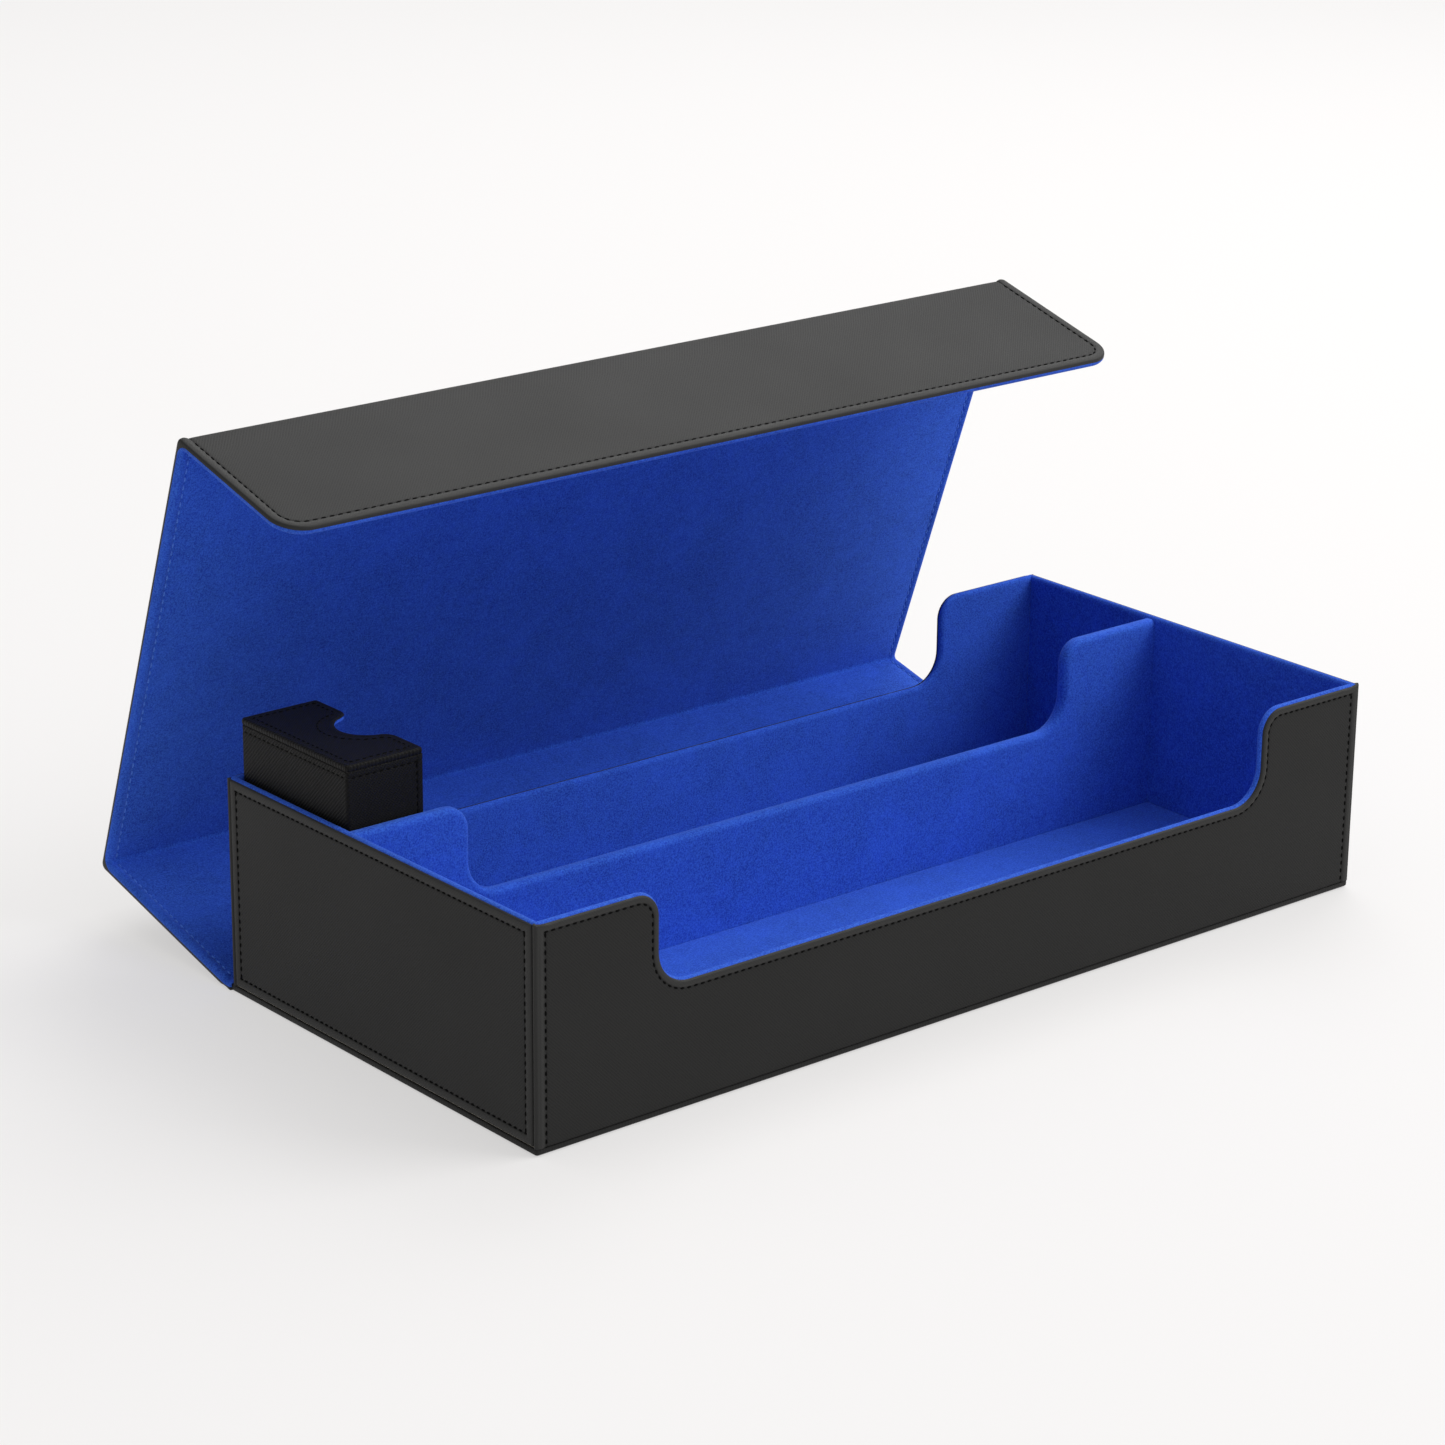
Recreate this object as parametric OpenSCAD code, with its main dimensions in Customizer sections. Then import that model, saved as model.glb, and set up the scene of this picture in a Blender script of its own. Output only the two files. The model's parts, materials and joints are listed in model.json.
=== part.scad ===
// Card deck box: a long leathered tray with two card lanes, a three-panel folding
// lid and a small loose deck box that stands in the rear lane.
// Millimetres, +Z up. The origin is the middle of the tray's footprint, on the table.
// +X runs along the tray, +Y runs back to the lid's hinge.

/* [Node] */
// Which sub-part to draw

/* [Tray] */
// Outside length of the tray
tray_length = 420; // [400:1:440]
// Outside depth of the tray, front to back
tray_depth = 192.5; // [190:0.5:196]
// Height of the rim above the table
tray_height = 87.6; // [84:0.2:88]
// How far the divider's front face stands behind the middle
divider_y = 16.5; // [5:0.5:17]
// Thickness of the divider with its lining
divider_thickness = 6.1; // [5:0.1:6.2]

/* [Finger notches] */
// Width of the long notch in the front wall, divider and rear wall
notch_width = 308.8; // [240:0.2:330]
// Height of the notch's floor above the table
notch_floor = 49.9; // [40:0.1:58]
// Rounding where the notch meets the rim
notch_lip_radius = 9.8; // [6:0.2:14]
// Rounding at the foot of the notch
notch_foot_radius = 14; // [8:0.5:18]

/* [Sheet thicknesses] */
// Outer leather of the tray and the lid
leather = 0.8; // [0.6:0.05:0.9]
// Suede lining
lining = 0.8; // [0.6:0.05:0.9]
// Board of the tray's walls
wall_board = 2.1; // [1.8:0.1:2.3]
// Board of the base, floor and lid panels
panel_board = 1.8; // [1.5:0.1:1.9]

/* [Lid] */
// Slope of the back panel behind the tray, in degrees
back_angle = 15.1; // [12:0.1:18]
// Direction of the top panel, in degrees from straight back
top_angle = 109.5; // [106:0.1:112]
// Direction of the front flap, in degrees from straight back
flap_angle = 195.6; // [192:0.1:198]
// Length of the back panel between its creases
back_length = 85.4; // [85:0.1:88]
// Length of the top panel between its creases
top_length = 194.3; // [194:0.1:198]
// Length of the front flap from its crease to its edge
flap_length = 68.6; // [60:0.2:74]
// Distance between the two creases of a fold strip
strip_width = 4.2; // [3.8:0.1:5]
// Rounding of the flap's front corners
flap_corner_radius = 11.5; // [6:0.5:16]

/* [Deck box] */
// Height of the small deck box as it stands on end
deck_height = 106; // [98:0.5:110]
// Width of the small deck box, front to back
deck_width = 69.2; // [68:0.1:69.3]
// Thickness of the small deck box, along the tray
deck_depth = 34.2; // [28:0.2:38]
// Leather of the small deck box
deck_leather = 0.5; // [0.4:0.05:0.6]
// Board of the small deck box
deck_board = 1.1; // [1:0.05:1.2]
// Radius of the thumb notch in its top end
thumb_radius = 13.2; // [10:0.2:15]
// Rounding of the thumb notch's shoulders
thumb_shoulder = 6; // [3:0.5:8]

/* [Stitching] */
// Width of a row of stitches
thread = 0.7; // [0.5:0.05:0.9]
// How far the stitches stand above the leather
thread_rise = 0.25; // [0.1:0.05:0.3]
// Distance of the tray's stitches from an edge
seam_inset = 3; // [2.5:0.1:5]
// Distance of the lid's stitches from an edge
lid_seam_inset = 4.6; // [3.5:0.1:6]

/* [Magnets] */
// Radius of the catch magnets
magnet_radius = 6; // [4:0.5:8]
// Distance of each magnet from the middle of the lid
magnet_x = 182; // [165:1:190]

/* [Hidden] */
$fn = 72;
half_x = tray_length / 2;
half_y = tray_depth / 2;
cap = 0.7;                                   // lining folded over the top of a wall
base_top = leather + panel_board;
floor_top = base_top + panel_board;
lane_floor = floor_top + lining;
board_x = half_x - leather;                  // outer face of an end board
board_y = half_y - leather;                  // outer face of a front or rear board
inner_x = board_x - wall_board;              // inner face of an end board
inner_y = board_y - wall_board;
lane_x = inner_x - lining;                   // inner face of the end lining
lane_y = inner_y - lining;
divider_back = divider_y + divider_thickness;
corner_wrap = 2;                             // front and rear leather turned round a corner
seam_gap = 0.3;
base_gap = 0.5;
panel_half = panel_board / 2 + leather;      // half the thickness of a lid panel
strip_radius = 1.1;
setback = strip_radius + 0.35;
hinge_y = 101.1;
hinge_z = panel_half;
base_end = hinge_y - 2.2 - strip_radius;
top_strip_angle = (back_angle + top_angle) / 2;
flap_strip_angle = flap_angle - 35.6;
top_crease_y = hinge_y + back_length * cos(back_angle);
top_crease_z = hinge_z + back_length * sin(back_angle);
top_fold_y = top_crease_y + strip_width * cos(top_strip_angle);
top_fold_z = top_crease_z + strip_width * sin(top_strip_angle);
flap_crease_y = top_fold_y + top_length * cos(top_angle);
flap_crease_z = top_fold_z + top_length * sin(top_angle);
flap_fold_y = flap_crease_y + strip_width * cos(flap_strip_angle);
flap_fold_z = flap_crease_z + strip_width * sin(flap_strip_angle);
magnet_z = 38;
magnet_on_flap = tray_height + 0.8 - magnet_z;
deck_lining = 0.5;
deck_x = -205.2;                             // face of the deck box next to the tray's end
deck_y = (divider_back + lane_y) / 2 - deck_width / 2;
deck_z = lane_floor + 0.3;
deck_right = deck_x + deck_depth;
deck_back = deck_y + deck_width;
deck_top = deck_z + deck_height;
deck_shell = deck_leather + deck_board;
deck_wall = deck_shell + deck_lining;
deck_cap = 0.6;                              // lining folded over the deck box's open edge
black = [0.13, 0.13, 0.13];
grey_board = [0.55, 0.52, 0.47];
blue = [0.12, 0.24, 0.66];
steel = [0.72, 0.73, 0.75];
thread_black = [0.05, 0.05, 0.05];
thread_blue = [0.2, 0.35, 0.8];

// ---- helpers ----

// a box between two limits on each axis
module slab(x0, x1, y0, y1, z0, z1) {
    translate([x0, y0, z0])
        cube([x1 - x0, y1 - y0, z1 - z0]);
}

// one end of a notched wall: the tall tab, its rounded lip and the notch's foot
module wall_tab(reach, foot, top, inset) {
    edge = notch_width / 2 + inset;
    lip = notch_lip_radius - inset;
    foot_r = notch_foot_radius + inset;
    floor_z = notch_floor - inset;
    translate([edge, foot])
        square([reach - edge, top - lip - foot]);
    translate([edge + lip, top - lip - 1])
        square([reach - edge - lip, lip + 1]);
    translate([edge + lip, top - lip])
        circle(lip);
    difference() {
        translate([edge - foot_r, floor_z - 1])
            square([foot_r + 1, foot_r + 1]);
        translate([edge - foot_r, floor_z + foot_r])
            circle(foot_r);
    }
}

// the outline of a notched wall, seen from the front
module wall_outline(reach, foot, top, inset) {
    translate([-reach, foot])
        square([2 * reach, notch_floor - inset - foot]);
    wall_tab(reach, foot, top, inset);
    mirror([1, 0])
        wall_tab(reach, foot, top, inset);
}

// a notched wall standing from y0 to y1
module notched_wall(reach, foot, top, inset, y0, y1) {
    translate([0, y1, 0])
        rotate([90, 0, 0])
            linear_extrude(y1 - y0)
                wall_outline(reach, foot, top, inset);
}

// the wall outline cut down to a row of stitches that follows its edge
module wall_seam_outline() {
    difference() {
        wall_outline(half_x - 4.2, base_top + 6, tray_height - seam_inset, seam_inset);
        wall_outline(half_x - 4.2 - thread, base_top + 5,
                     tray_height - seam_inset - thread, seam_inset + thread);
    }
}

// the same row of stitches on a wall, from y0 to y1
module wall_seam(y0, y1) {
    translate([0, y1, 0])
        rotate([90, 0, 0])
            linear_extrude(y1 - y0)
                wall_seam_outline();
}

// four straight rows of stitches on an end wall, on its outer face
module end_seam(x0, x1) {
    front = -half_y + corner_wrap + 3.8;
    rear = half_y - corner_wrap - 3.8;
    low = base_top + base_gap + 3.4;
    high = tray_height - cap - seam_inset;
    slab(x0, x1, front, rear, high - thread, high);
    slab(x0, x1, front, rear, low, low + thread);
    slab(x0, x1, front, front + thread, low + thread, high - thread);
    slab(x0, x1, rear - thread, rear, low + thread, high - thread);
}

// a plain panel's leather: outer face and edges turned up to the middle of the board
module panel_skin(length, x_edge) {
    difference() {
        slab(-half_x, half_x, setback, length - setback, -panel_half, 0);
        slab(-x_edge, x_edge, setback + leather, length - setback - leather,
             -panel_board / 2, 1);
    }
}

// stitches along the two ends of a plain lid panel, on its lining
module panel_seam(length) {
    for (side = [-1, 1])
        translate([side * (half_x - lid_seam_inset), 0, 0])
            slab(-thread / 2, thread / 2, setback + 2, length - setback - 2,
                 panel_half, panel_half + thread_rise);
}

// half of a fold strip: side 1 is the lining half, side -1 the leather half
module strip_half(span, side) {
    translate([-half_x, 0, 0])
        rotate([90, 0, 90])
            linear_extrude(2 * half_x)
                difference() {
                    union() {
                        circle(strip_radius);
                        translate([span, 0])
                            circle(strip_radius);
                        translate([0, -strip_radius])
                            square([span, 2 * strip_radius]);
                    }
                    translate([-strip_radius - 1, side > 0 ? -strip_radius - 1 : 0])
                        square([span + 2 * strip_radius + 2, strip_radius + 1]);
                }
}

// the flap's outline, flat, drawn back from its outer edges by inset
module flap_outline(inset, start) {
    corner = flap_corner_radius - inset;
    reach = half_x - inset;
    far = flap_length - inset;
    translate([-reach, start])
        square([2 * reach, far - corner - start]);
    translate([-reach + corner, far - corner - 1])
        square([2 * (reach - corner), corner + 1]);
    for (side = [-1, 1])
        translate([side * (reach - corner), far - corner])
            circle(corner);
}

// a row of stitches round three edges of the flap
module flap_seam(z0, z1) {
    translate([0, 0, z0])
        linear_extrude(z1 - z0)
            difference() {
                flap_outline(lid_seam_inset, setback + 2);
                flap_outline(lid_seam_inset + thread, setback + 1);
            }
}

// places a lid piece that is drawn flat along +Y, with its lining side up
module on_back() {
    translate([0, hinge_y, hinge_z])
        rotate([back_angle, 0, 0])
            children();
}

module on_top_strip() {
    translate([0, top_crease_y, top_crease_z])
        rotate([top_strip_angle, 0, 0])
            children();
}

module on_top() {
    translate([0, top_fold_y, top_fold_z])
        rotate([top_angle, 0, 0])
            children();
}

module on_flap_strip() {
    translate([0, flap_crease_y, flap_crease_z])
        rotate([flap_strip_angle, 0, 0])
            children();
}

module on_flap() {
    translate([0, flap_fold_y, flap_fold_z])
        rotate([flap_angle, 0, 0])
            children();
}

// the deck box's top end seen from above, with the thumb notch in its open edge
module thumb_outline(x0, x1, y0, y1, grow, shoulder) {
    middle = (deck_y + deck_back) / 2;
    reach = thumb_radius + grow;
    difference() {
        translate([x0, y0])
            square([x1 - x0, y1 - y0]);
        translate([x1, middle])
            circle(reach);
        for (side = [-1, 1])
            translate([x1 - shoulder, middle])
                mirror([0, side > 0 ? 0 : 1])
                    difference() {
                        square([shoulder + 1, reach + shoulder]);
                        translate([0, reach + shoulder - thumb_nip(reach, shoulder)])
                            circle(shoulder);
                    }
    }
}

// how far a shoulder's rounding tucks in where the notch's circle meets the edge
function thumb_nip(reach, shoulder) =
    reach + shoulder - sqrt((reach + shoulder) * (reach + shoulder) - shoulder * shoulder);

// ---- tray ----

module base_leather() color(black)
    difference() {
        slab(-half_x, half_x, -half_y, base_end, 0, base_top);
        slab(-board_x, board_x, -board_y, base_end - leather, leather, base_top + 1);
    }

module base_board() color(grey_board)
    slab(-board_x, board_x, -board_y, base_end - leather, leather, base_top);

module floor_board() color(grey_board)
    slab(-board_x, board_x, -board_y, board_y, base_top, floor_top);

module front_board() color(grey_board)
    difference() {
        notched_wall(board_x, floor_top, tray_height - cap, cap, -board_y, -inner_y);
        for (side = [-1, 1])
            translate([side * magnet_x, -board_y + 1.5, magnet_z])
                rotate([90, 0, 0])
                    cylinder(h = 2, r = magnet_radius + 0.05);
    }

module tray_magnets() color(steel)
    for (side = [-1, 1])
        translate([side * magnet_x, -board_y + 1.5, magnet_z])
            rotate([90, 0, 0])
                cylinder(h = 1.5, r = magnet_radius);

module rear_board() color(grey_board)
    notched_wall(board_x, floor_top, tray_height - cap, cap, inner_y, board_y);

module left_board() color(grey_board)
    slab(-board_x, -inner_x, -inner_y, inner_y, floor_top, tray_height - cap);

module right_board() color(grey_board)
    slab(inner_x, board_x, -inner_y, inner_y, floor_top, tray_height - cap);

module divider_board() color(grey_board)
    notched_wall(lane_x, floor_top, tray_height - cap - 0.5, cap,
                 divider_y + lining, divider_back - lining);

module front_leather() color(black)
    union() {
        notched_wall(half_x, base_top, tray_height - 0.1, 0, -half_y, -board_y);
        for (side = [-1, 1])
            translate([side * (half_x - leather / 2), 0, 0])
                slab(-leather / 2, leather / 2, -board_y, -half_y + corner_wrap,
                     base_top, tray_height - 0.1);
    }

module rear_leather() color(black)
    union() {
        notched_wall(half_x, base_top, tray_height - 0.1, 0, board_y, half_y);
        for (side = [-1, 1])
            translate([side * (half_x - leather / 2), 0, 0])
                slab(-leather / 2, leather / 2, half_y - corner_wrap, board_y,
                     base_top, tray_height - 0.1);
    }

module end_leather() {
    slab(board_x, half_x, -half_y + corner_wrap + seam_gap, half_y - corner_wrap - seam_gap,
         base_top + base_gap, tray_height - 0.1);
}

module left_leather() color(black)
    mirror([1, 0, 0])
        end_leather();

module right_leather() color(black)
    end_leather();

// lining of a notched wall: the inner face, and a cap over the board's top edge
module wall_lining() {
    difference() {
        notched_wall(board_x, floor_top, tray_height, 0, lane_y, board_y);
        notched_wall(board_x + 1, floor_top - 1, tray_height - cap, cap,
                     inner_y, board_y + 1);
        for (side = [-1, 1])
            translate([side * (inner_x + 5), 0, 0])
                slab(-5, 5, lane_y - 1, inner_y, floor_top - 1, tray_height - cap);
    }
}

module rear_lining() color(blue)
    wall_lining();

module front_lining() color(blue)
    mirror([0, 1, 0])
        wall_lining();

module end_lining() {
    slab(lane_x, inner_x, -lane_y, lane_y, floor_top, tray_height - cap);
    slab(lane_x, board_x, -lane_y, lane_y, tray_height - cap, tray_height);
}

module left_lining() color(blue)
    mirror([1, 0, 0])
        end_lining();

module right_lining() color(blue)
    end_lining();

module divider_lining() color(blue)
    difference() {
        notched_wall(lane_x, floor_top, tray_height - 0.5, 0, divider_y, divider_back);
        notched_wall(lane_x + 1, floor_top - 1, tray_height - cap - 0.5, cap,
                     divider_y + lining, divider_back - lining);
    }

module front_floor_lining() color(blue)
    slab(-lane_x, lane_x, -lane_y, divider_y, floor_top, lane_floor);

module rear_floor_lining() color(blue)
    slab(-lane_x, lane_x, divider_back, lane_y, floor_top, lane_floor);

module rear_strip_leather() color(black)
    translate([0, hinge_y - 2.2, hinge_z])
        strip_half(2.2, -1);

module rear_strip_lining() color(blue)
    translate([0, hinge_y - 2.2, hinge_z])
        strip_half(2.2, 1);

module front_thread() color(thread_black)
    wall_seam(-half_y - thread_rise, -half_y);

module rear_thread() color(thread_black)
    wall_seam(half_y, half_y + thread_rise);

module left_thread() color(thread_black)
    end_seam(-half_x - thread_rise, -half_x);

module right_thread() color(thread_black)
    end_seam(half_x, half_x + thread_rise);

// ---- lid ----

module back_leather() color(black)
    on_back()
        panel_skin(back_length, board_x);

module back_board() color(grey_board)
    on_back()
        slab(-board_x, board_x, setback + leather, back_length - setback - leather,
             -panel_board / 2, panel_board / 2);

module back_lining() color(blue)
    on_back()
        mirror([0, 0, 1])
            panel_skin(back_length, board_x);

module back_thread() color(thread_blue)
    on_back()
        panel_seam(back_length);

module top_strip_leather() color(black)
    on_top_strip()
        strip_half(strip_width, -1);

module top_strip_lining() color(blue)
    on_top_strip()
        strip_half(strip_width, 1);

module top_leather() color(black)
    on_top()
        panel_skin(top_length, board_x);

module top_board() color(grey_board)
    on_top()
        slab(-board_x, board_x, setback + leather, top_length - setback - leather,
             -panel_board / 2, panel_board / 2);

module top_lining() color(blue)
    on_top()
        mirror([0, 0, 1])
            panel_skin(top_length, board_x);

module top_thread() color(thread_blue)
    on_top()
        panel_seam(top_length);

module flap_strip_leather() color(black)
    on_flap_strip()
        strip_half(strip_width, -1);

module flap_strip_lining() color(blue)
    on_flap_strip()
        strip_half(strip_width, 1);

// one face of the flap, from its outer surface to the middle of the board
module flap_skin() {
    difference() {
        translate([0, 0, -panel_half])
            linear_extrude(panel_half)
                flap_outline(0, setback);
        translate([0, 0, -panel_board / 2])
            linear_extrude(panel_half)
                flap_outline(leather, setback + leather);
    }
}

module flap_leather() color(black)
    on_flap()
        flap_skin();

module flap_lining() color(blue)
    on_flap()
        mirror([0, 0, 1])
            flap_skin();

module flap_board() color(grey_board)
    on_flap()
        difference() {
            translate([0, 0, -panel_board / 2])
                linear_extrude(panel_board)
                    flap_outline(leather, setback + leather);
            for (side = [-1, 1])
                translate([side * magnet_x, magnet_on_flap, -0.6])
                    cylinder(h = 2, r = magnet_radius + 0.05);
        }

module flap_magnets() color(steel)
    on_flap()
        for (side = [-1, 1])
            translate([side * magnet_x, magnet_on_flap, -0.6])
                cylinder(h = 1.5, r = magnet_radius);

module flap_thread() color(thread_black)
    on_flap()
        flap_seam(-panel_half - thread_rise, -panel_half);

module flap_lining_thread() color(thread_blue)
    on_flap()
        flap_seam(panel_half, panel_half + thread_rise);

// ---- small deck box, standing on end with its open side towards +X ----

module deck_back_board() color(grey_board)
    slab(deck_x + deck_leather, deck_x + deck_shell,
         deck_y + deck_leather, deck_back - deck_leather,
         deck_z + deck_leather, deck_top - deck_leather);

module deck_side_boards() color(grey_board) {
    slab(deck_x + deck_shell, deck_right - deck_cap,
         deck_y + deck_leather, deck_y + deck_shell,
         deck_z + deck_shell, deck_top - deck_shell);
    slab(deck_x + deck_shell, deck_right - deck_cap,
         deck_back - deck_shell, deck_back - deck_leather,
         deck_z + deck_shell, deck_top - deck_shell);
}

module deck_top_board() color(grey_board)
    translate([0, 0, deck_top - deck_shell])
        linear_extrude(deck_board)
            thumb_outline(deck_x + deck_shell, deck_right - deck_cap,
                          deck_y + deck_leather, deck_back - deck_leather,
                          deck_cap, thumb_shoulder - deck_cap);

module deck_foot_board() color(grey_board)
    slab(deck_x + deck_shell, deck_right - deck_cap,
         deck_y + deck_leather, deck_back - deck_leather,
         deck_z + deck_leather, deck_z + deck_shell);

module deck_back_leather() color(black)
    slab(deck_x, deck_x + deck_leather, deck_y, deck_back,
         deck_z + deck_leather, deck_top - deck_leather);

module deck_side_leather() color(black) {
    slab(deck_x + deck_leather, deck_right, deck_y, deck_y + deck_leather,
         deck_z + deck_leather, deck_top - deck_leather);
    slab(deck_x + deck_leather, deck_right, deck_back - deck_leather, deck_back,
         deck_z + deck_leather, deck_top - deck_leather);
}

module deck_top_leather() color(black)
    translate([0, 0, deck_top - deck_leather])
        linear_extrude(deck_leather)
            thumb_outline(deck_x, deck_right, deck_y, deck_back, 0, thumb_shoulder);

module deck_foot_leather() color(black)
    slab(deck_x, deck_right, deck_y, deck_back, deck_z, deck_z + deck_leather);

// lining of the deck box: five inner faces, with its edge folded over the boards
module deck_lining_shell() color(blue)
    difference() {
        slab(deck_x + deck_shell, deck_right,
             deck_y + deck_leather, deck_back - deck_leather,
             deck_z + deck_leather, deck_top - deck_leather);
        slab(deck_x, deck_right - deck_cap,
             deck_y, deck_y + deck_shell, deck_z, deck_top);
        slab(deck_x, deck_right - deck_cap,
             deck_back - deck_shell, deck_back, deck_z, deck_top);
        slab(deck_x, deck_right - deck_cap,
             deck_y, deck_back, deck_z, deck_z + deck_shell);
        translate([0, 0, deck_top - deck_shell])
            linear_extrude(deck_shell)
                thumb_outline(deck_x, deck_right - deck_cap, deck_y, deck_back,
                              deck_cap, thumb_shoulder - deck_cap);
        slab(deck_x + deck_wall, deck_right + 1,
             deck_y + deck_wall, deck_back - deck_wall,
             deck_z + deck_wall, deck_top - deck_wall);
        translate([deck_right, (deck_y + deck_back) / 2, deck_top - 5])
            cylinder(h = 10, r = thumb_radius);
    }

module deck_thread() color(thread_black) {
    high = deck_top - 4;
    slab(deck_x - thread_rise, deck_x, deck_y + 3.5, deck_back - 3.5, high - thread, high);
    slab(deck_x + 3.5, deck_right - 4.5, deck_y - thread_rise, deck_y, high - thread, high);
    slab(deck_right - 4.5, deck_right - 4.5 + thread, deck_y - thread_rise, deck_y,
         deck_z + 4, high);
    slab(deck_x + 3.5, deck_right - 4.5, deck_y + 4, deck_y + 4 + thread,
         deck_top, deck_top + thread_rise);
}

// ---- one line per node ----

base_leather();
base_board();
floor_board();
front_board();
rear_board();
left_board();
right_board();
divider_board();
front_leather();
rear_leather();
left_leather();
right_leather();
front_lining();
rear_lining();
left_lining();
right_lining();
divider_lining();
front_floor_lining();
rear_floor_lining();
tray_magnets();
rear_strip_leather();
rear_strip_lining();
front_thread();
rear_thread();
left_thread();
right_thread();
back_leather();
back_board();
back_lining();
back_thread();
top_strip_leather();
top_strip_lining();
top_leather();
top_board();
top_lining();
top_thread();
flap_strip_leather();
flap_strip_lining();
flap_leather();
flap_board();
flap_lining();
flap_thread();
flap_lining_thread();
flap_magnets();
deck_back_board();
deck_side_boards();
deck_top_board();
deck_foot_board();
deck_back_leather();
deck_side_leather();
deck_top_leather();
deck_foot_leather();
deck_lining_shell();
deck_thread();
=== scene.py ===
"""Card deck box: a leathered card tray with a folding lid and a small loose deck box.

Every piece is made in millimetres in the part's own frame and then scaled to metres.
"""

import json
import math

import bmesh
import bpy
import numpy as np
from mathutils import Matrix, Vector
from mathutils.geometry import tessellate_polygon


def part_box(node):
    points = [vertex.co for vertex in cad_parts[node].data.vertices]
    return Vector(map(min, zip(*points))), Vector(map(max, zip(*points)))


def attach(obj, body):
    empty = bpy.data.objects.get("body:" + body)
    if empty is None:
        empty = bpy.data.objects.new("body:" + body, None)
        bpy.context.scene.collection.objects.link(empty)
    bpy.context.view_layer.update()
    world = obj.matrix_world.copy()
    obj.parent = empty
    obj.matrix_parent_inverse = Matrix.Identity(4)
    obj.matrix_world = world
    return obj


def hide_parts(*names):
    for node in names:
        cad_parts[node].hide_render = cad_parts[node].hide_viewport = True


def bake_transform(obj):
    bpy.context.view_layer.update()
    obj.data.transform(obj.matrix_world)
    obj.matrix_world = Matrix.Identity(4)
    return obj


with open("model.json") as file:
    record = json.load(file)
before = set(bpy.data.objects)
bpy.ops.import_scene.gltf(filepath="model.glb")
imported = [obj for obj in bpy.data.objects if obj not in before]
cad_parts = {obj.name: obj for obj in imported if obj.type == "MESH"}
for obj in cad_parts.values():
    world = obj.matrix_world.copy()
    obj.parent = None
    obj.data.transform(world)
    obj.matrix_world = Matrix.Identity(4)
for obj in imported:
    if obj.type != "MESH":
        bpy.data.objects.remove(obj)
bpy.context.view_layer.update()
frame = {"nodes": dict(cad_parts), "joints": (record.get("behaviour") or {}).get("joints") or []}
MM = 0.001


def span(node):
    """Lowest and highest corner of a CAD node, in millimetres."""
    low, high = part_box(node)
    return np.array(low) / MM, np.array(high) / MM


# ---- sizes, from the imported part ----

front_low, front_high = span("front_leather")
half_x, half_y = front_high[0], -front_low[1]
wall_foot, leather_top = front_low[2], front_high[2]
cap_low, cap_high = span("front_lining")
board_y, lane_y, rim_top = -cap_low[1], -cap_high[1], cap_high[2]
floor_top = cap_low[2]
end_low, end_high = span("right_lining")
lane_x, board_x = end_low[0], end_high[0]
end_leather_low, end_leather_high = span("right_leather")
divider_low, divider_high = span("divider_lining")
base_low, base_high = span("base_leather")
(deck_x0, deck_y0, _), (deck_x1, deck_y1, deck_top) = span("deck_top_leather")
deck_foot = span("deck_foot_leather")[0][2]
pivot = {j["name"]: np.array(j["pos_m"][1:]) / MM for j in frame["joints"]}

# the sides of the tray: the sign of their place along y or x, and the name that their nodes start with
WALLS = ((-1, "front"), (1, "rear"))
ENDS = ((-1, "left"), (1, "right"))
# the long finger notch that the front wall, divider and rear wall share
NOTCH_HALF = 154.4
NOTCH_FLOOR = 49.9
LIP_RADIUS = 9.8
FOOT_RADIUS = 14.0
# how far the outer leather stops short of the lining's rim, by the side's sign
SETBACK = {-1: 0.15, 1: -0.2}
# how far the lining stands above the rim
PROUD = 0.45
# seams, measured from the nearest edge
RIM_SEAM = 3.0
CORNER_SEAM = 4.55
END_SEAM = 3.85
LID_SEAM = 4.2
# lid: half its thickness, and where its edge changes from lining to leather, outside the middle
PANEL_HALF = 1.7
EDGE_SPLIT = 0.3
# how far the lid reaches past the tray at each end
LID_OVER = 0.8
# half the thickness of the sheets in the rear fold
STRIP_HALF = 1.1
FLAP_ANGLE = math.radians(195.6)
FLAP_LENGTH = 68.6
FLAP_CORNER = 12.5
# distance from a crease at which a panel's flat sheet begins
SPLIT = 8.0
# thumb notch of the deck box
THUMB_RADIUS = 13.2
THUMB_SHOULDER = 6.0


# ---- mesh helpers ----

# points closer than this are one point, in metres
WELD = 2e-7
# height of a sheet's hidden underside, in millimetres
BURIED = -0.05
# edges that bend more than this are sharp
SHARP = math.radians(38)


def linked(name, data):
    """A new object, linked to the scene."""
    made = bpy.data.objects.new(name, data)
    bpy.context.scene.collection.objects.link(made)
    return made


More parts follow.
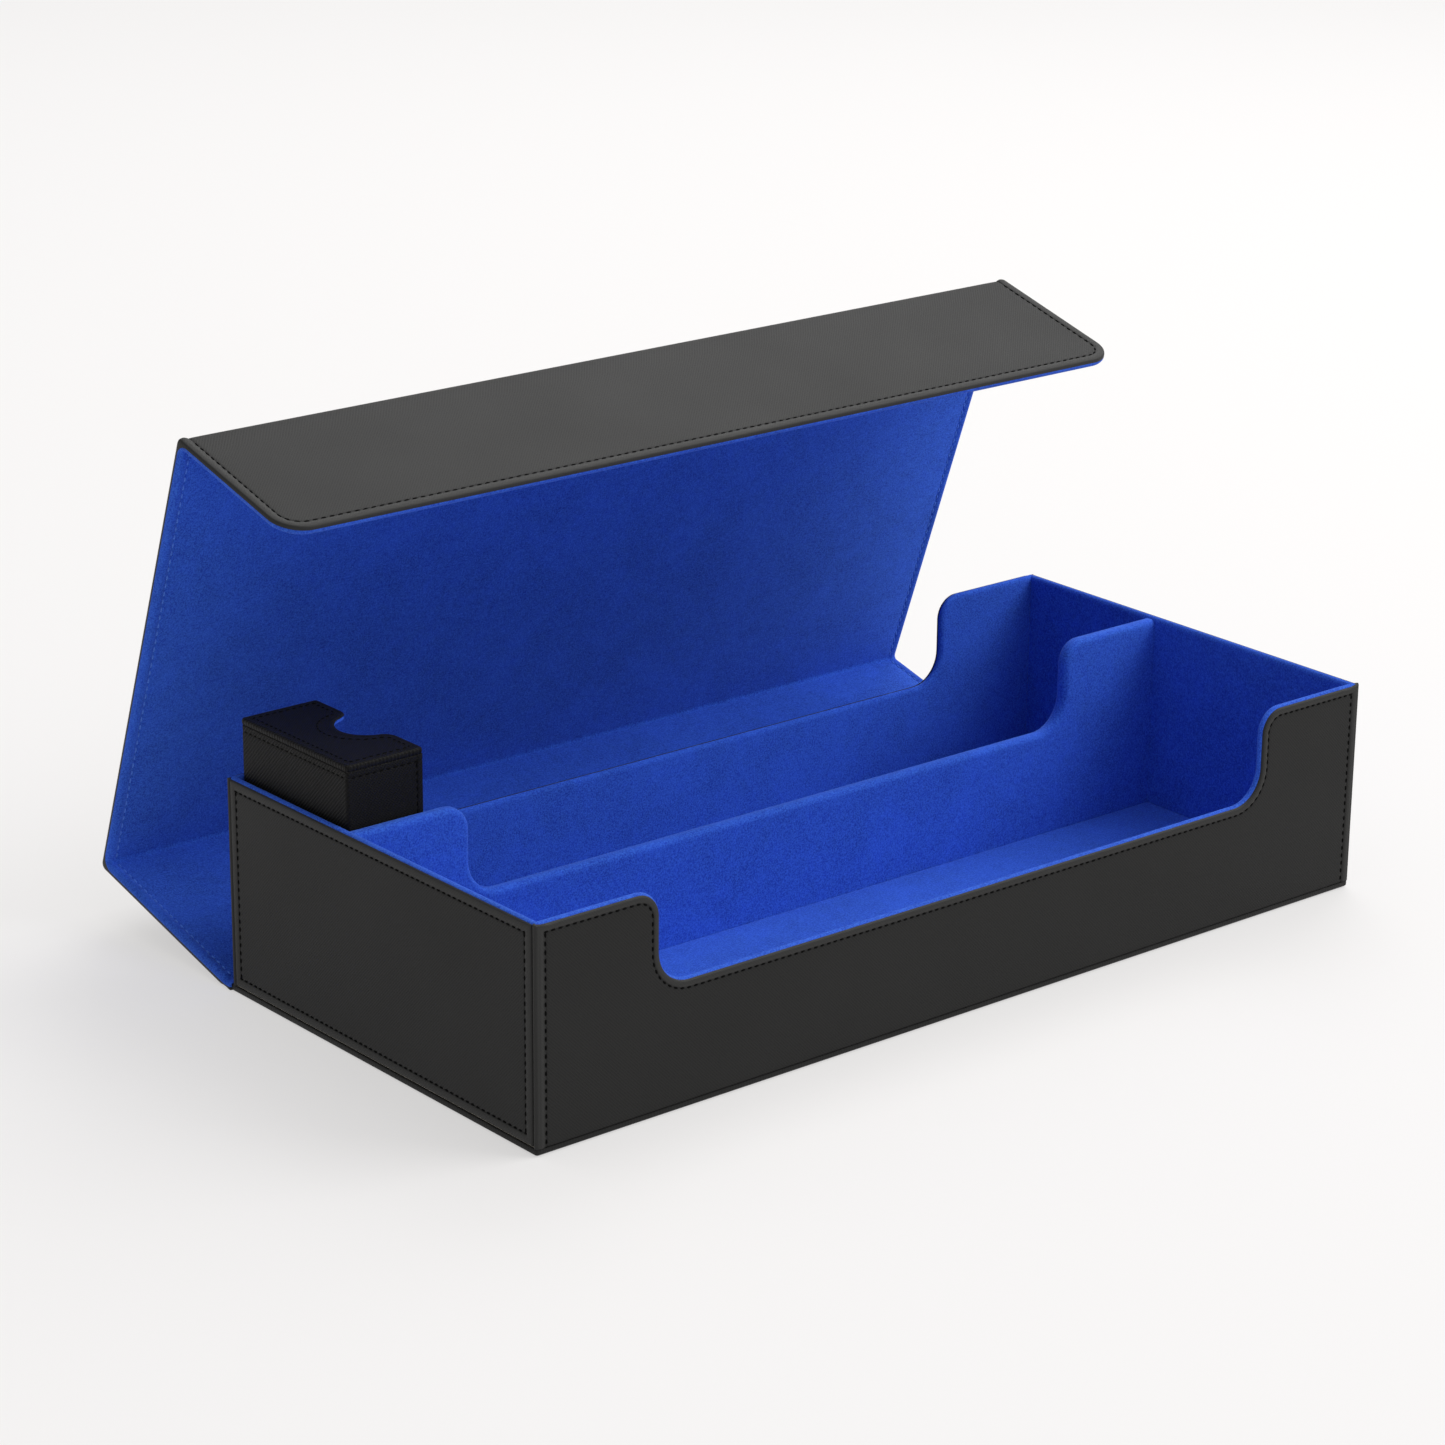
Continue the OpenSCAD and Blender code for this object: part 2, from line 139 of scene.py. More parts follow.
def build(name, points, faces, sheet, caps, rims):
    """A mesh object from points in millimetres; sheet holds each point's place on the flat sheet.

    All edges of the faces listed in caps are sharp. rims says of each point how far it belongs to the
    turned edge, from 0 to 1, or is None; the leather paints a highlight there by it.
    """
    mesh = bpy.data.meshes.new(name)
    mesh.from_pydata((np.asarray(points, float) * MM).tolist(), [], [list(f) for f in faces])
    loops = np.zeros(len(mesh.loops), np.int32)
    mesh.loops.foreach_get("vertex_index", loops)
    layer = mesh.uv_layers.new(name="sheet")
    layer.data.foreach_set("uv", (np.asarray(sheet, float)[loops] * MM).astype(np.float32).ravel())
    if rims is not None:
        mesh.attributes.new("rim", "FLOAT", "POINT").data.foreach_set("value", np.asarray(rims, np.float32))
    body = bmesh.new()
    body.from_mesh(mesh)
    body.faces.ensure_lookup_table()
    ends = [body.faces[k] for k in caps]
    bmesh.ops.remove_doubles(body, verts=body.verts, dist=WELD)
    bmesh.ops.dissolve_degenerate(body, edges=body.edges, dist=WELD)
    bmesh.ops.recalc_face_normals(body, faces=body.faces)
    for edge in body.edges:
        edge.smooth = edge.calc_face_angle(0.0) < SHARP
    for face in body.faces:
        face.smooth = True
    for face in ends:
        for edge in face.edges:
            edge.smooth = False
    body.to_mesh(mesh)
    body.free()
    return linked(name, mesh)


def turned(e, seam):
    """Share of the turned edge at distance e from the edge, where the leather paints its rim highlight: 1 up
    to just before the seam, 0 beyond it.
    """
    return min(1.0, max(0.0, (seam - 0.25 - e) / 0.5))


def ringed(name, rings, sheets, open_side=False, rims=None):
    """A closed shell: rings of equal length joined in order, with flat faces on the first and the last."""
    count = len(rings[0])
    points, places, faces = [], [], []
    for ring, sheet in zip(rings, sheets):
        points.extend(ring)
        places.extend(sheet)
    for i in range(len(rings) - 1):
        for j in range(count - 1 if open_side else count):
            k = (j + 1) % count
            faces.append((i * count + j, i * count + k, (i + 1) * count + k, (i + 1) * count + j))
    last = (len(rings) - 1) * count
    for first, sheet in ((0, sheets[0]), (last, sheets[-1])):
        for corners in tessellate_polygon([[Vector((p[0], p[1], 0)) for p in sheet]]):
            faces.append([first + k for k in corners])
    caps = []
    if open_side:
        caps.append(len(faces))
        firsts = [i * count for i in range(len(rings))]
        faces.append(firsts + [first + count - 1 for first in reversed(firsts)])
    if rims is not None:
        rims = np.repeat(rims, count)
    return build(name, points, faces, places, caps, rims)


def lofted(name, section, outline, place):
    """A closed shell over a section of (inset, depth) pairs. Each pair has an outline(inset, depth), and
    place(u, v, depth) puts its points in space."""
    sheets = [outline(inset, depth) for inset, depth in section]
    rings = [[place(u, v, depth) for u, v in sheet] for sheet, (_, depth) in zip(sheets, section)]
    return ringed(name, rings, sheets)


def run(start, end, parts):
    """Points from start towards end, without the end itself."""
    start, end = np.array(start, float), np.array(end, float)
    return [start + (end - start) * i / parts for i in range(parts)]


def runs(corners, parts):
    """Points from corner to corner, with the last corner."""
    path = []
    for start, end, count in zip(corners, corners[1:], parts):
        path += run(start, end, count)
    return path + [np.array(corners[-1], float)]


def bow(centre, radius, start, end, parts):
    """Points on an arc, in degrees, without its end."""
    turns = np.radians(np.linspace(start, end, parts + 1)[:-1])
    return [np.array((centre[0] + radius * math.cos(t), centre[1] + radius * math.sin(t))) for t in turns]


def notched(reach, foot, top, inset):
    """Outline of a notched wall, drawn back by inset from its rim, as seen from the front."""
    edge, floor = NOTCH_HALF, NOTCH_FLOOR
    left = run((-reach, foot), (-reach, top - inset), 10)
    left += run((-reach, top - inset), (-edge - LIP_RADIUS, top - inset), 8)
    left += bow((-edge - LIP_RADIUS, top - LIP_RADIUS), LIP_RADIUS - inset, 90, 0, 12)
    left += run((-edge - inset, top - LIP_RADIUS), (-edge - inset, floor + FOOT_RADIUS), 4)
    left += bow((-edge + FOOT_RADIUS, floor + FOOT_RADIUS), FOOT_RADIUS + inset, 180, 270, 12)
    left += run((-edge + FOOT_RADIUS, floor - inset), (0, floor - inset), 24)
    right = [np.array((-p[0], p[1])) for p in reversed(left)]
    return np.array(left + [np.array((0.0, floor - inset))] + right)


def box_path(x0, x1, y0, y1, radius, inset):
    """A rectangle with rounded corners, drawn back by inset."""
    r = max(radius - inset, 0.02)
    x0, x1, y0, y1 = x0 + inset + r, x1 - inset - r, y0 + inset + r, y1 - inset - r
    path = []
    for cx, cy, turn in ((x1, y1, 0), (x0, y1, 90), (x0, y0, 180), (x1, y0, 270)):
        path += bow((cx, cy), r, turn, turn + 90, 5)
        end = math.radians(turn + 90)
        path.append(np.array((cx + r * math.cos(end), cy + r * math.sin(end))))
    return np.array(path)


def hem(e, seam, face, rise, sink, radius, width=0.42):
    """Height of a turned, stitched edge at distance e from the edge.

    face is the sheet's height and rise the bead's over it. sink is how deep the seam lies in its groove,
    width is half the groove's width, and radius is how far in the edge is rounded.
    """
    e = np.asarray(e, float)
    edge = np.sqrt(1 - (1 - np.clip(e / radius, 0, 1)) ** 2)
    bead = rise * np.sin(math.pi * np.clip(e / seam, 0, 1))
    field = 0.05 * (1 - np.exp(-(np.clip(e - seam, 0, None) / 3.0)))
    groove = sink * np.exp(-(((e - seam) / width) ** 2))
    return float((face + bead + field) * edge - groove)


def edge_steps(seam):
    """Distances from an edge at which a stitched sheet needs its rings."""
    near_seam = (-0.75, -0.5, -0.3, -0.15, 0, 0.15, 0.3, 0.5, 0.8, 1.6, 3.2, 6.0, 6.4)
    return [0, 0.05, 0.16, 0.34, 0.6, 0.95, 1.4, 1.9, 2.4] + [seam + d for d in near_seam]


def grid(name, us, vs, height, place, rim=None):
    """A closed sheet over a grid: place(u, v, h) puts a point of height h over the flat sheet's (u, v)."""
    columns, rows = len(us), len(vs)
    places = [(u, v) for u in us for v in vs] * 2
    under = columns * rows
    points = [place(u, v, height(u, v) if k < under else BURIED) for k, (u, v) in enumerate(places)]
    faces = []

    def at(i, j, side=0):
        return side * under + i * rows + j

    for i in range(columns - 1):
        for j in range(rows - 1):
            faces.append((at(i, j), at(i + 1, j), at(i + 1, j + 1), at(i, j + 1)))
            faces.append((at(i, j, 1), at(i, j + 1, 1), at(i + 1, j + 1, 1), at(i + 1, j, 1)))
    for i in range(columns - 1):
        for j in (0, rows - 1):
            faces.append((at(i, j), at(i, j, 1), at(i + 1, j, 1), at(i + 1, j)))
    for j in range(rows - 1):
        for i in (0, columns - 1):
            faces.append((at(i, j), at(i, j + 1), at(i, j + 1, 1), at(i, j, 1)))
    rims = [rim(u, v) for u, v in places] if rim else None
    return build(name, points, faces, places, (), rims)


def spread(low, high, steps):
    """Positions between two edges, with the given distances from each edge."""
    inner = [s for s in steps if s < (high - low) / 2 - 0.2]
    return [low + s for s in inner] + [high - s for s in reversed(inner)]


# ---- materials ----


class Tree:
    """Short ways to add and link nodes."""

    def __init__(self, tree):
        self.tree = tree

    def add(self, kind, values=None, **settings):
        made = self.tree.nodes.new(kind)
        for key, value in settings.items():
            setattr(made, key, value)
        for key, value in (values or {}).items():
            self.put(made.inputs[key], value)
        return made

    def put(self, socket, value):
        if isinstance(value, bpy.types.NodeSocket):
            self.tree.links.new(value, socket)
        else:
            socket.default_value = value

    def out(self, kind, output, values=None, **settings):
        """Adds a node and returns one of its outputs."""
        return self.add(kind, values, **settings).outputs[output]

    def math(self, operation, *values):
        return self.out("ShaderNodeMath", 0, dict(enumerate(values)), operation=operation)

    def along(self, vector, direction):
        """Distance along a direction."""
        return self.out("ShaderNodeVectorMath", "Value", {0: vector, 1: direction}, operation="DOT_PRODUCT")

    def noise(self, vector, scale, detail=2.0, rough=0.5, distortion=0.0):
        return self.out("ShaderNodeTexNoise", "Fac", {"Vector": vector, "Scale": scale, "Detail": detail,
                                                      "Roughness": rough, "Distortion": distortion})

    def ramp(self, value, low, high, to_low=0.0, to_high=1.0):
        return self.out("ShaderNodeMapRange", "Result", {"Value": value, "From Min": low, "From Max": high,
                                                         "To Min": to_low, "To Max": to_high})

    def mix(self, factor, a, b):
        """Mixes two colours, whose sockets are numbers 6 and 7."""
        return self.out("ShaderNodeMix", 2, {"Factor": factor, 6: a, 7: b}, data_type="RGBA")

    def bump(self, height, strength, distance):
        values = {"Height": height, "Strength": strength, "Distance": distance}
        return self.out("ShaderNodeBump", "Normal", values)

    def place(self):
        return self.out("ShaderNodeTexCoord", "Object")


def group(name, setting, value, results):
    """An empty shader group that takes a vector and one number, and gives the numbers named in results.

    Returns it with the sockets of its input and output nodes.
    """
    made = bpy.data.node_groups.new(name, "ShaderNodeTree")
    made.interface.new_socket("Vector", in_out="INPUT", socket_type="NodeSocketVector")
    made.interface.new_socket(setting, in_out="INPUT", socket_type="NodeSocketFloat").default_value = value
    for label in results:
        made.interface.new_socket(label, in_out="OUTPUT", socket_type="NodeSocketFloat")
    t = Tree(made)
    return t, t.add("NodeGroupInput").outputs, t.add("NodeGroupOutput").inputs


def hatched_group():
    """Leather pressed with fine crossing diagonal ridges. Pitch is the ridges' spacing in metres."""
    t, given, out = group("cross-hatched grain", "Pitch", 0.0011, ("Height", "Ridge", "Cloud"))
    place = given["Vector"]
    bend = t.ramp(t.noise(place, 420.0), 0.0, 1.0, -0.55, 0.55)
    hatch = []
    for direction, share in (((0.72, 0.694, 0.0), 1.0), ((0.66, -0.751, 0.0), 0.72)):
        turns = t.math("DIVIDE", t.along(place, direction), t.math("MULTIPLY", given["Pitch"], share))
        wave = t.math("SINE", t.math("MULTIPLY_ADD", turns, 2 * math.pi, bend))
        hatch.append(t.ramp(wave, -0.6, 1.0))
    broken = t.ramp(t.noise(place, 1300.0), 0.35, 0.62)
    ridge = t.math("MAXIMUM", hatch[0], t.math("MULTIPLY", hatch[1], broken))
    pores = t.noise(place, 5200.0)
    t.put(out["Height"], t.math("MULTIPLY_ADD", pores, 0.25, ridge))
    t.put(out["Ridge"], ridge)
    t.put(out["Cloud"], t.noise(place, 22.0, 3.0))
    return t.tree


def nap_group():
    """Brushed suede: cloudy strokes of the nap over a fine fibre."""
    t, given, out = group("brushed nap", "Stroke", 34.0, ("Height", "Shade", "Fibre"))
    place, stroke = given["Vector"], given["Stroke"]
    broad = t.noise(place, stroke, 4.0, 0.6, 0.6)
    strokes = t.noise(place, t.math("MULTIPLY", stroke, 5.0), 3.0, 0.6, 0.8)
    fibre = t.noise(place, 1500.0, 4.0, 0.7)
    fine = t.noise(place, 4200.0, 2.0, 0.6)
    shade = t.math("ADD", t.math("MULTIPLY", broad, 0.6), t.math("MULTIPLY", strokes, 0.4))
    t.put(out["Shade"], t.ramp(shade, 0.36, 0.64))
    t.put(out["Fibre"], t.ramp(fibre, 0.36, 0.64))
    t.put(out["Height"], t.math("ADD", fibre, t.math("MULTIPLY", fine, 0.6)))
    return t.tree


hatched = hatched_group()
brushed = nap_group()


def material(name, constants):
    """A material of one shader with these constants; returns it with its tree and the shader's inputs."""
    made = bpy.data.materials.new(name)
    made.use_nodes = True
    made.node_tree.nodes.clear()
    t = Tree(made.node_tree)
    shader = t.add("ShaderNodeBsdfPrincipled", constants)
    t.add("ShaderNodeOutputMaterial", {"Surface": shader.outputs["BSDF"]})
    return made, t, shader.inputs


def leather_material(name, pitch, dark, light, rim, shine, depth, gloss):
    """Fine pressed leather. Over a turned edge it is paler, in the rim colour: a painted highlight on the
    rolled rim band.
    """
    made, t, s = material(name, {"Specular IOR Level": gloss})
    uv = t.out("ShaderNodeUVMap", "UV", uv_map="sheet")
    grain = t.add("ShaderNodeGroup", {"Vector": uv, "Pitch": pitch}, node_tree=hatched).outputs
    tone = t.math("ADD", t.math("MULTIPLY", grain["Ridge"], 0.55), t.math("MULTIPLY", grain["Cloud"], 0.45))
    # painted highlight: the rim share lightens the turned edges towards the rim colour
    rim_highlight = t.out("ShaderNodeAttribute", "Fac", attribute_name="rim")
    t.put(s["Base Color"], t.mix(rim_highlight, t.mix(tone, dark, light), rim))
    t.put(s["Roughness"], t.ramp(tone, 0.0, 1.0, shine + 0.12, shine))
    t.put(s["Normal"], t.bump(grain["Height"], 1.0, depth))
    return made


def suede_material(name, deep, mid, bright):
    made, t, s = material(name, {"Roughness": 0.95, "Specular IOR Level": 0.12, "Sheen Weight": 0.35,
                                 "Sheen Roughness": 0.45, "Sheen Tint": (0.25, 0.45, 1.0, 1.0)})
    nap = t.add("ShaderNodeGroup", {"Vector": t.place()}, node_tree=brushed).outputs
    colour = t.mix(nap["Shade"], deep, mid)
    t.put(s["Base Color"], t.mix(t.math("MULTIPLY", nap["Fibre"], 0.5), colour, bright))
    t.put(s["Normal"], t.bump(nap["Height"], 0.32, 0.00022))
    return made


def board_material():
    made, t, s = material("grey board", {"Roughness": 0.9})
    place = t.place()
    pulp = t.noise(place, 900.0, 4.0, 0.7)
    fleck = t.ramp(t.noise(place, 2600.0), 0.6, 0.72)
    ground = t.mix(pulp, (0.33, 0.30, 0.26, 1), (0.5, 0.47, 0.41, 1))
    t.put(s["Base Color"], t.mix(fleck, ground, (0.2, 0.17, 0.14, 1)))
    t.put(s["Normal"], t.bump(pulp, 0.3, 0.0002))
    return made


def steel_material():
    made, t, s = material("nickel plate", {"Metallic": 1.0})
    scuffs = t.noise(t.place(), 700.0, 3.0, 0.6, 1.0)
    t.put(s["Base Color"], t.mix(scuffs, (0.55, 0.56, 0.58, 1), (0.72, 0.73, 0.75, 1)))
    t.put(s["Roughness"], t.ramp(scuffs, 0.3, 0.7, 0.2, 0.38))
    return made


def thread_material(name, dark, light, strand_pitch=0.0005):
    """Twisted thread: fine slanting strands."""
    made, t, s = material(name, {"Specular IOR Level": 0.1})
    place = t.place()
    turns = t.math("MULTIPLY", t.along(place, (1.0, 1.0, 1.0)), 2 * math.pi / strand_pitch)
    strand = t.ramp(t.math("SINE", turns), -1.0, 1.0)
    fuzz = t.noise(place, 3000.0)
    t.put(s["Base Color"], t.mix(t.math("MULTIPLY", strand, fuzz), dark, light))
    t.put(s["Roughness"], t.ramp(strand, 0.0, 1.0, 0.9, 0.75))
    t.put(s["Normal"], t.bump(strand, 0.4, 0.0001))
    return made


# a coat is a material and the record slot that it stands for
# rim is a paler colour for the turned edges, a painted highlight on the rolled rim band
LEATHER = (
    leather_material("black leather", pitch=0.00095, dark=(0.0085, 0.0085, 0.0082, 1),
                     light=(0.0148, 0.0148, 0.0145, 1), rim=(0.027, 0.027, 0.0263, 1), shine=0.5,
                     depth=0.000028, gloss=0.22),
    "black_leather")
DECK_LEATHER = (
    leather_material("deck box leather", pitch=0.0012, dark=(0.004, 0.004, 0.0038, 1),
                     light=(0.016, 0.0155, 0.0145, 1), rim=(0.02, 0.0195, 0.0185, 1), shine=0.42,
                     depth=0.0002, gloss=0.1),
    "black_leather")
SUEDE = (
    suede_material("royal blue suede", deep=(0.011, 0.0405, 0.39, 1), mid=(0.0193, 0.069, 0.58, 1),
                   bright=(0.082, 0.275, 1.0, 1)),
    "blue_suede")
grey_board = board_material()
nickel = steel_material()
BLACK = thread_material("black thread", (0.0008, 0.0008, 0.0008, 1), (0.003, 0.003, 0.003, 1)), "black_thread"
BLUE = thread_material("blue thread", (0.07, 0.19, 0.72, 1), (0.17, 0.38, 1.0, 1)), "blue_thread"


def finish_piece(piece, coat, nodes, body=None, bend=None):
    """Gives a piece the material of its coat, hides the CAD nodes it stands for, and ties it to the body it
    moves with, if any. bend is not used.
    """
    finish, slot = coat
    piece.data.materials.clear()
    piece.data.materials.append(finish)
    if nodes:
        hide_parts(*nodes)
    if body:
        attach(piece, body)
    else:
        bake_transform(piece)


for name, cad in frame["nodes"].items():
    cad.data.materials.clear()
    cad.data.materials.append(nickel if name.endswith("magnets") else grey_board)

# ---- tray: outer leather ----

WRAP_RADIUS = 1.3
WRAP = 2.0
SHEET_END = half_x - WRAP_RADIUS + WRAP_RADIUS * math.pi / 2 + (WRAP - WRAP_RADIUS)
# how far the leather's corner stands up above the rim, at the front (-1) and at the rear (1)
EAR = {-1: 1.5, 1: 0.5}


def round_corner(u, h, sign):
    """Where a point of the front or rear leather goes: the sheet turns round the tray's upright corners."""
    side = 1 if u > 0 else -1
    past = abs(u) - (half_x - WRAP_RADIUS)
    out = h - (half_y - board_y)
    if past <= 0:
        return u, sign * (half_y + out)
    turn = min(past / WRAP_RADIUS, math.pi / 2)
    straight = max(past - WRAP_RADIUS * math.pi / 2, 0)
    reach = WRAP_RADIUS + out
    x = half_x - WRAP_RADIUS + reach * math.sin(turn)
    y = half_y - WRAP_RADIUS + reach * math.cos(turn) - straight
    return side * x, sign * y


def wall_leather(sign, side):
    """Outer leather of the front or rear wall, with its turned and stitched edge."""
    side_seam = SHEET_END - (half_x - CORNER_SEAM)
    rings, sheets, rims = [], [], []
    steps = sorted(edge_steps(RIM_SEAM) + [1.15, 1.6, 1.75])
    # the hidden underside comes first
    for inset, buried in [(steps[-1], True), (0.12, True)] + [(step, False) for step in steps]:
        back = inset * side_seam / RIM_SEAM if inset < RIM_SEAM else inset - RIM_SEAM + side_seam
        path = notched(SHEET_END - back, wall_foot, leather_top, inset + SETBACK[sign])
        height = hem(inset, RIM_SEAM, half_y - board_y, rise=0.28, sink=0.15, radius=0.6)
        ring = []
        for u, z in path:
            # a shallow crease just before each upright corner, which fades out below the rim
            past = abs(abs(u) - (half_x - 1.5)) / 0.32
            dent = 0.2 * math.exp(-past * past) * min(1.0, max(0.0, (leather_top - 2 - z) / 2))
            x, y = round_corner(u, 0.0 if buried else height - dent, sign)
            near_corner = max(0.0, 1 - abs(abs(u) - half_x) / 2.2)
            lift = EAR[sign] * near_corner if z > leather_top - 3.0 else 0.0
            ring.append((x, y, z + lift))
        rings.append(ring)
        sheets.append(path)
        rims.append(turned(inset, RIM_SEAM))
    piece = ringed(f"{side}_wall_leather", rings, sheets, rims=rims)
    finish_piece(piece, LEATHER, [f"{side}_leather"], "tray")


def end_leather(sign, side):
    low, high = end_leather_low, end_leather_high
    top = high[2] - SETBACK[sign]
    us = spread(low[1], high[1], edge_steps(END_SEAM))
    vs = spread(low[2], top, edge_steps(END_SEAM))

    def edge(u, v):
        return min(u - low[1], high[1] - u, v - low[2], top - v)

    piece = grid(f"{side}_end_leather", us, vs,
                 lambda u, v: hem(edge(u, v), END_SEAM, 0.8, rise=0.22, sink=0.15, radius=0.5),
                 lambda u, v, h: (sign * (board_x + h), u, v),
                 lambda u, v: turned(edge(u, v), END_SEAM))
    finish_piece(piece, LEATHER, [f"{side}_leather"], "tray")


def base_cover():
    """Leather under the tray, turned up round the base board."""
    low, high = base_low, base_high
    section = [(1.3, 0.0), (0.9, 0.0), (0.45, 0.12), (0.14, 0.4), (0.0, 0.85), (0.0, 2.2), (0.06, 2.42),
               (0.2, 2.56), (0.8, 2.58), (1.2, 2.58)]

    def outline(inset, _):
        path = box_path(low[0], high[0], low[1], high[1] + 0.3, 1.3, inset)
        return [(x, min(y, high[1])) for x, y in path]

    piece = lofted("base_cover_leather", section, outline, lambda x, y, z: (x, y, z))
    finish_piece(piece, LEATHER, ["base_leather"], "tray")


for wall in WALLS:
    wall_leather(*wall)
for end in ENDS:
    end_leather(*end)
base_cover()

# ---- tray: suede lining ----


def rim_section():
    """Section of a wall's lining: (distance below the rim, distance out from the lane face)."""
    section = [(6.4, 0.0), (6.0, 0.0), (1.9, 0.0)]
    for turn in range(15, 91, 15):
        a = math.radians(turn)
        section.append((1.7 - 1.7 * math.sin(a) - PROUD * turn / 90, 1.4 - 1.4 * math.cos(a)))
    section += [(below - PROUD, out) for below, out in
                ((0.02, 1.8), (0.1, 2.15), (0.24, 2.5), (0.42, 2.8), (0.62, 2.98))]
    return section + [(0.4, 3.05), (0.85, 2.95), (0.85, 2.1), (0.7, 0.8), (6.0, 0.8), (6.4, 0.8)]


def lining_reach(lane, inset, out):
    """Half the length of a wall's lining, which runs on over the corner of the rim."""
    return lane - 0.03 + min(out, 2.9) * (inset < 1.8)


def wall_lining(sign, side):
    def outline(inset, out):
        return notched(lining_reach(lane_x, inset, out), floor_top, rim_top, inset)

    piece = lofted(f"{side}_wall_lining", rim_section(), outline,
                   lambda x, z, out: (x, sign * (lane_y + out), z))
    finish_piece(piece, SUEDE, [f"{side}_lining"], "tray")


def end_lining(sign, side):
    def outline(inset, out):
        reach, top = lining_reach(lane_y, inset, out), rim_top - inset
        corners = [(-reach, floor_top), (-reach, top), (reach, top), (reach, floor_top)]
        return np.array(runs(corners, (6, 16, 6)))

    piece = lofted(f"{side}_end_lining", rim_section(), outline,
                   lambda y, z, out: (sign * (lane_x + out), y, z))
    finish_piece(piece, SUEDE, [f"{side}_lining"], "tray")


def divider_lining():
    """Suede over both faces of the divider and its soft round top."""
    low, high = divider_low[1], divider_high[1]
    radius = 2.4
    section = [(6.4, low), (6.0, low), (radius, low)]
    for turn in range(15, 91, 15):
        a = math.radians(turn)
        section.append((radius - radius * math.sin(a), low + radius - radius * math.cos(a)))
    section += [(inset, low + high - y) for inset, y in reversed(section)]
    piece = lofted("divider_suede", section,
                   lambda inset, _: notched(lane_x - 0.06, floor_top, divider_high[2], inset),
                   lambda x, z, y: (x, y, z))
    finish_piece(piece, SUEDE, ["divider_lining"], "tray")


def floor_pad(side):
    """Suede on a lane's floor, with soft edges against the walls."""
    low, high = span(f"{side}_floor_lining")
    section = [(0.3, low[2]), (0.0, low[2] + 0.1), (0.02, low[2] + 0.35), (0.25, high[2] - 0.1)]
    section += [(inset, high[2]) for inset in (0.7, 1.2, 1.6)]
    piece = lofted(f"{side}_lane_floor", section,
                   lambda inset, _: box_path(low[0], high[0], low[1], high[1], 1.2, inset),
                   lambda x, y, z: (x, y, z))
    finish_piece(piece, SUEDE, [f"{side}_floor_lining"], "tray")


for wall in WALLS:
    wall_lining(*wall)
for end in ENDS:
    end_lining(*end)
divider_lining()
for _, side in WALLS:
    floor_pad(side)

# ---- lid ----


def unit(a, b):
    d = b - a
    return d / np.linalg.norm(d)


def left_of(d):
    """The lining side of a lid piece that runs along d."""
    return np.array((-d[1], d[0]))


def facing(d, suede):
    """The side that the lining or else the leather of a lid piece faces."""
    return left_of(d) * (1 if suede else -1)


def coat_of(suede):
    return (SUEDE, "lining") if suede else (LEATHER, "leather")


hinge, crease_1, fold_1 = pivot["rear_fold"], pivot["top_crease"], pivot["top_fold"]
crease_2, fold_2 = pivot["flap_crease"], pivot["flap_fold"]
back_way, strip_1_way = unit(hinge, crease_1), unit(crease_1, fold_1)
top_way, strip_2_way = unit(fold_1, crease_2), unit(crease_2, fold_2)
flap_way = np.array((math.cos(FLAP_ANGLE), math.sin(FLAP_ANGLE)))
base_way = np.array((1.0, 0.0))
back_length = np.linalg.norm(crease_1 - hinge)
top_length = np.linalg.norm(crease_2 - fold_1)
strip_length = np.linalg.norm(fold_1 - crease_1)
# where each stretch starts along the one long sheet of the lid, whose zero is the hinge
start_strip_1 = back_length
start_top = start_strip_1 + strip_length
start_strip_2 = start_top + top_length
start_flap = start_strip_2 + strip_length


def lid_height(e, suede):
    """Height of the lid's leather or lining over the middle of the board, by distance from a free edge."""
    if suede:
        return hem(e, LID_SEAM, PANEL_HALF, rise=0.5, sink=0.2, radius=1.7, width=0.5)
    flat = hem(e, LID_SEAM, PANEL_HALF, rise=0.3, sink=0.14, radius=0.01, width=0.45)
    edge = math.sqrt(1 - (1 - min(e / 0.5, 1.0)) ** 2)
    return EDGE_SPLIT + (flat - EDGE_SPLIT) * edge


# the buried start of the lid's edge: (distance in from the edge, height over the middle)
LEATHER_START = [(0.95, 0.0), (0.78, EDGE_SPLIT), (0.02, EDGE_SPLIT)]
LINING_START = [(0.95, 0.0), (0.78, -EDGE_SPLIT), (0.05, -EDGE_SPLIT), (0.0, -EDGE_SPLIT + 0.1)]


def lid_band(name, mid, split, outer, lengths, suede):
    """A stretch of the lid from end to end. The lines of its section are in (y, z): mid runs in the board's
    middle, split where the edge changes from lining to leather, outer along the face."""
    columns = [(e, h, True) for e, h in (LINING_START if suede else LEATHER_START)]
    columns += [(e, lid_height(e, suede), False) for e in edge_steps(LID_SEAM)]
    reach = half_x + LID_OVER
    across = [(e - reach, *rest, e) for e, *rest in columns]
    across += [(reach - e, *rest, e) for e, *rest in reversed(columns)]
    rows, count = len(mid), len(across)
    points, places, faces, rims = [], [], [], []
    for u, height, buried, e in across:
        for m, q, o, length in zip(mid, split, outer, lengths):
            if buried:
                p = m + (q - m) * abs(height) / EDGE_SPLIT
            elif suede:
                p = m + (o - m) * height / PANEL_HALF
            else:
                p = q + (o - q) * (height - EDGE_SPLIT) / (PANEL_HALF - EDGE_SPLIT)
            points.append((u, p[0], p[1]))
            places.append((u, length))
            rims.append(turned(e, LID_SEAM))
    for i in range(count):
        j = (i + 1) % count
        for k in range(rows - 1):
            faces.append((i * rows + k, j * rows + k, j * rows + k + 1, i * rows + k + 1))
    caps = [len(faces), len(faces) + 1]
    for k in (0, rows - 1):
        faces.append([i * rows + k for i in range(count)])
    return build(name, points, faces, places, caps, rims)


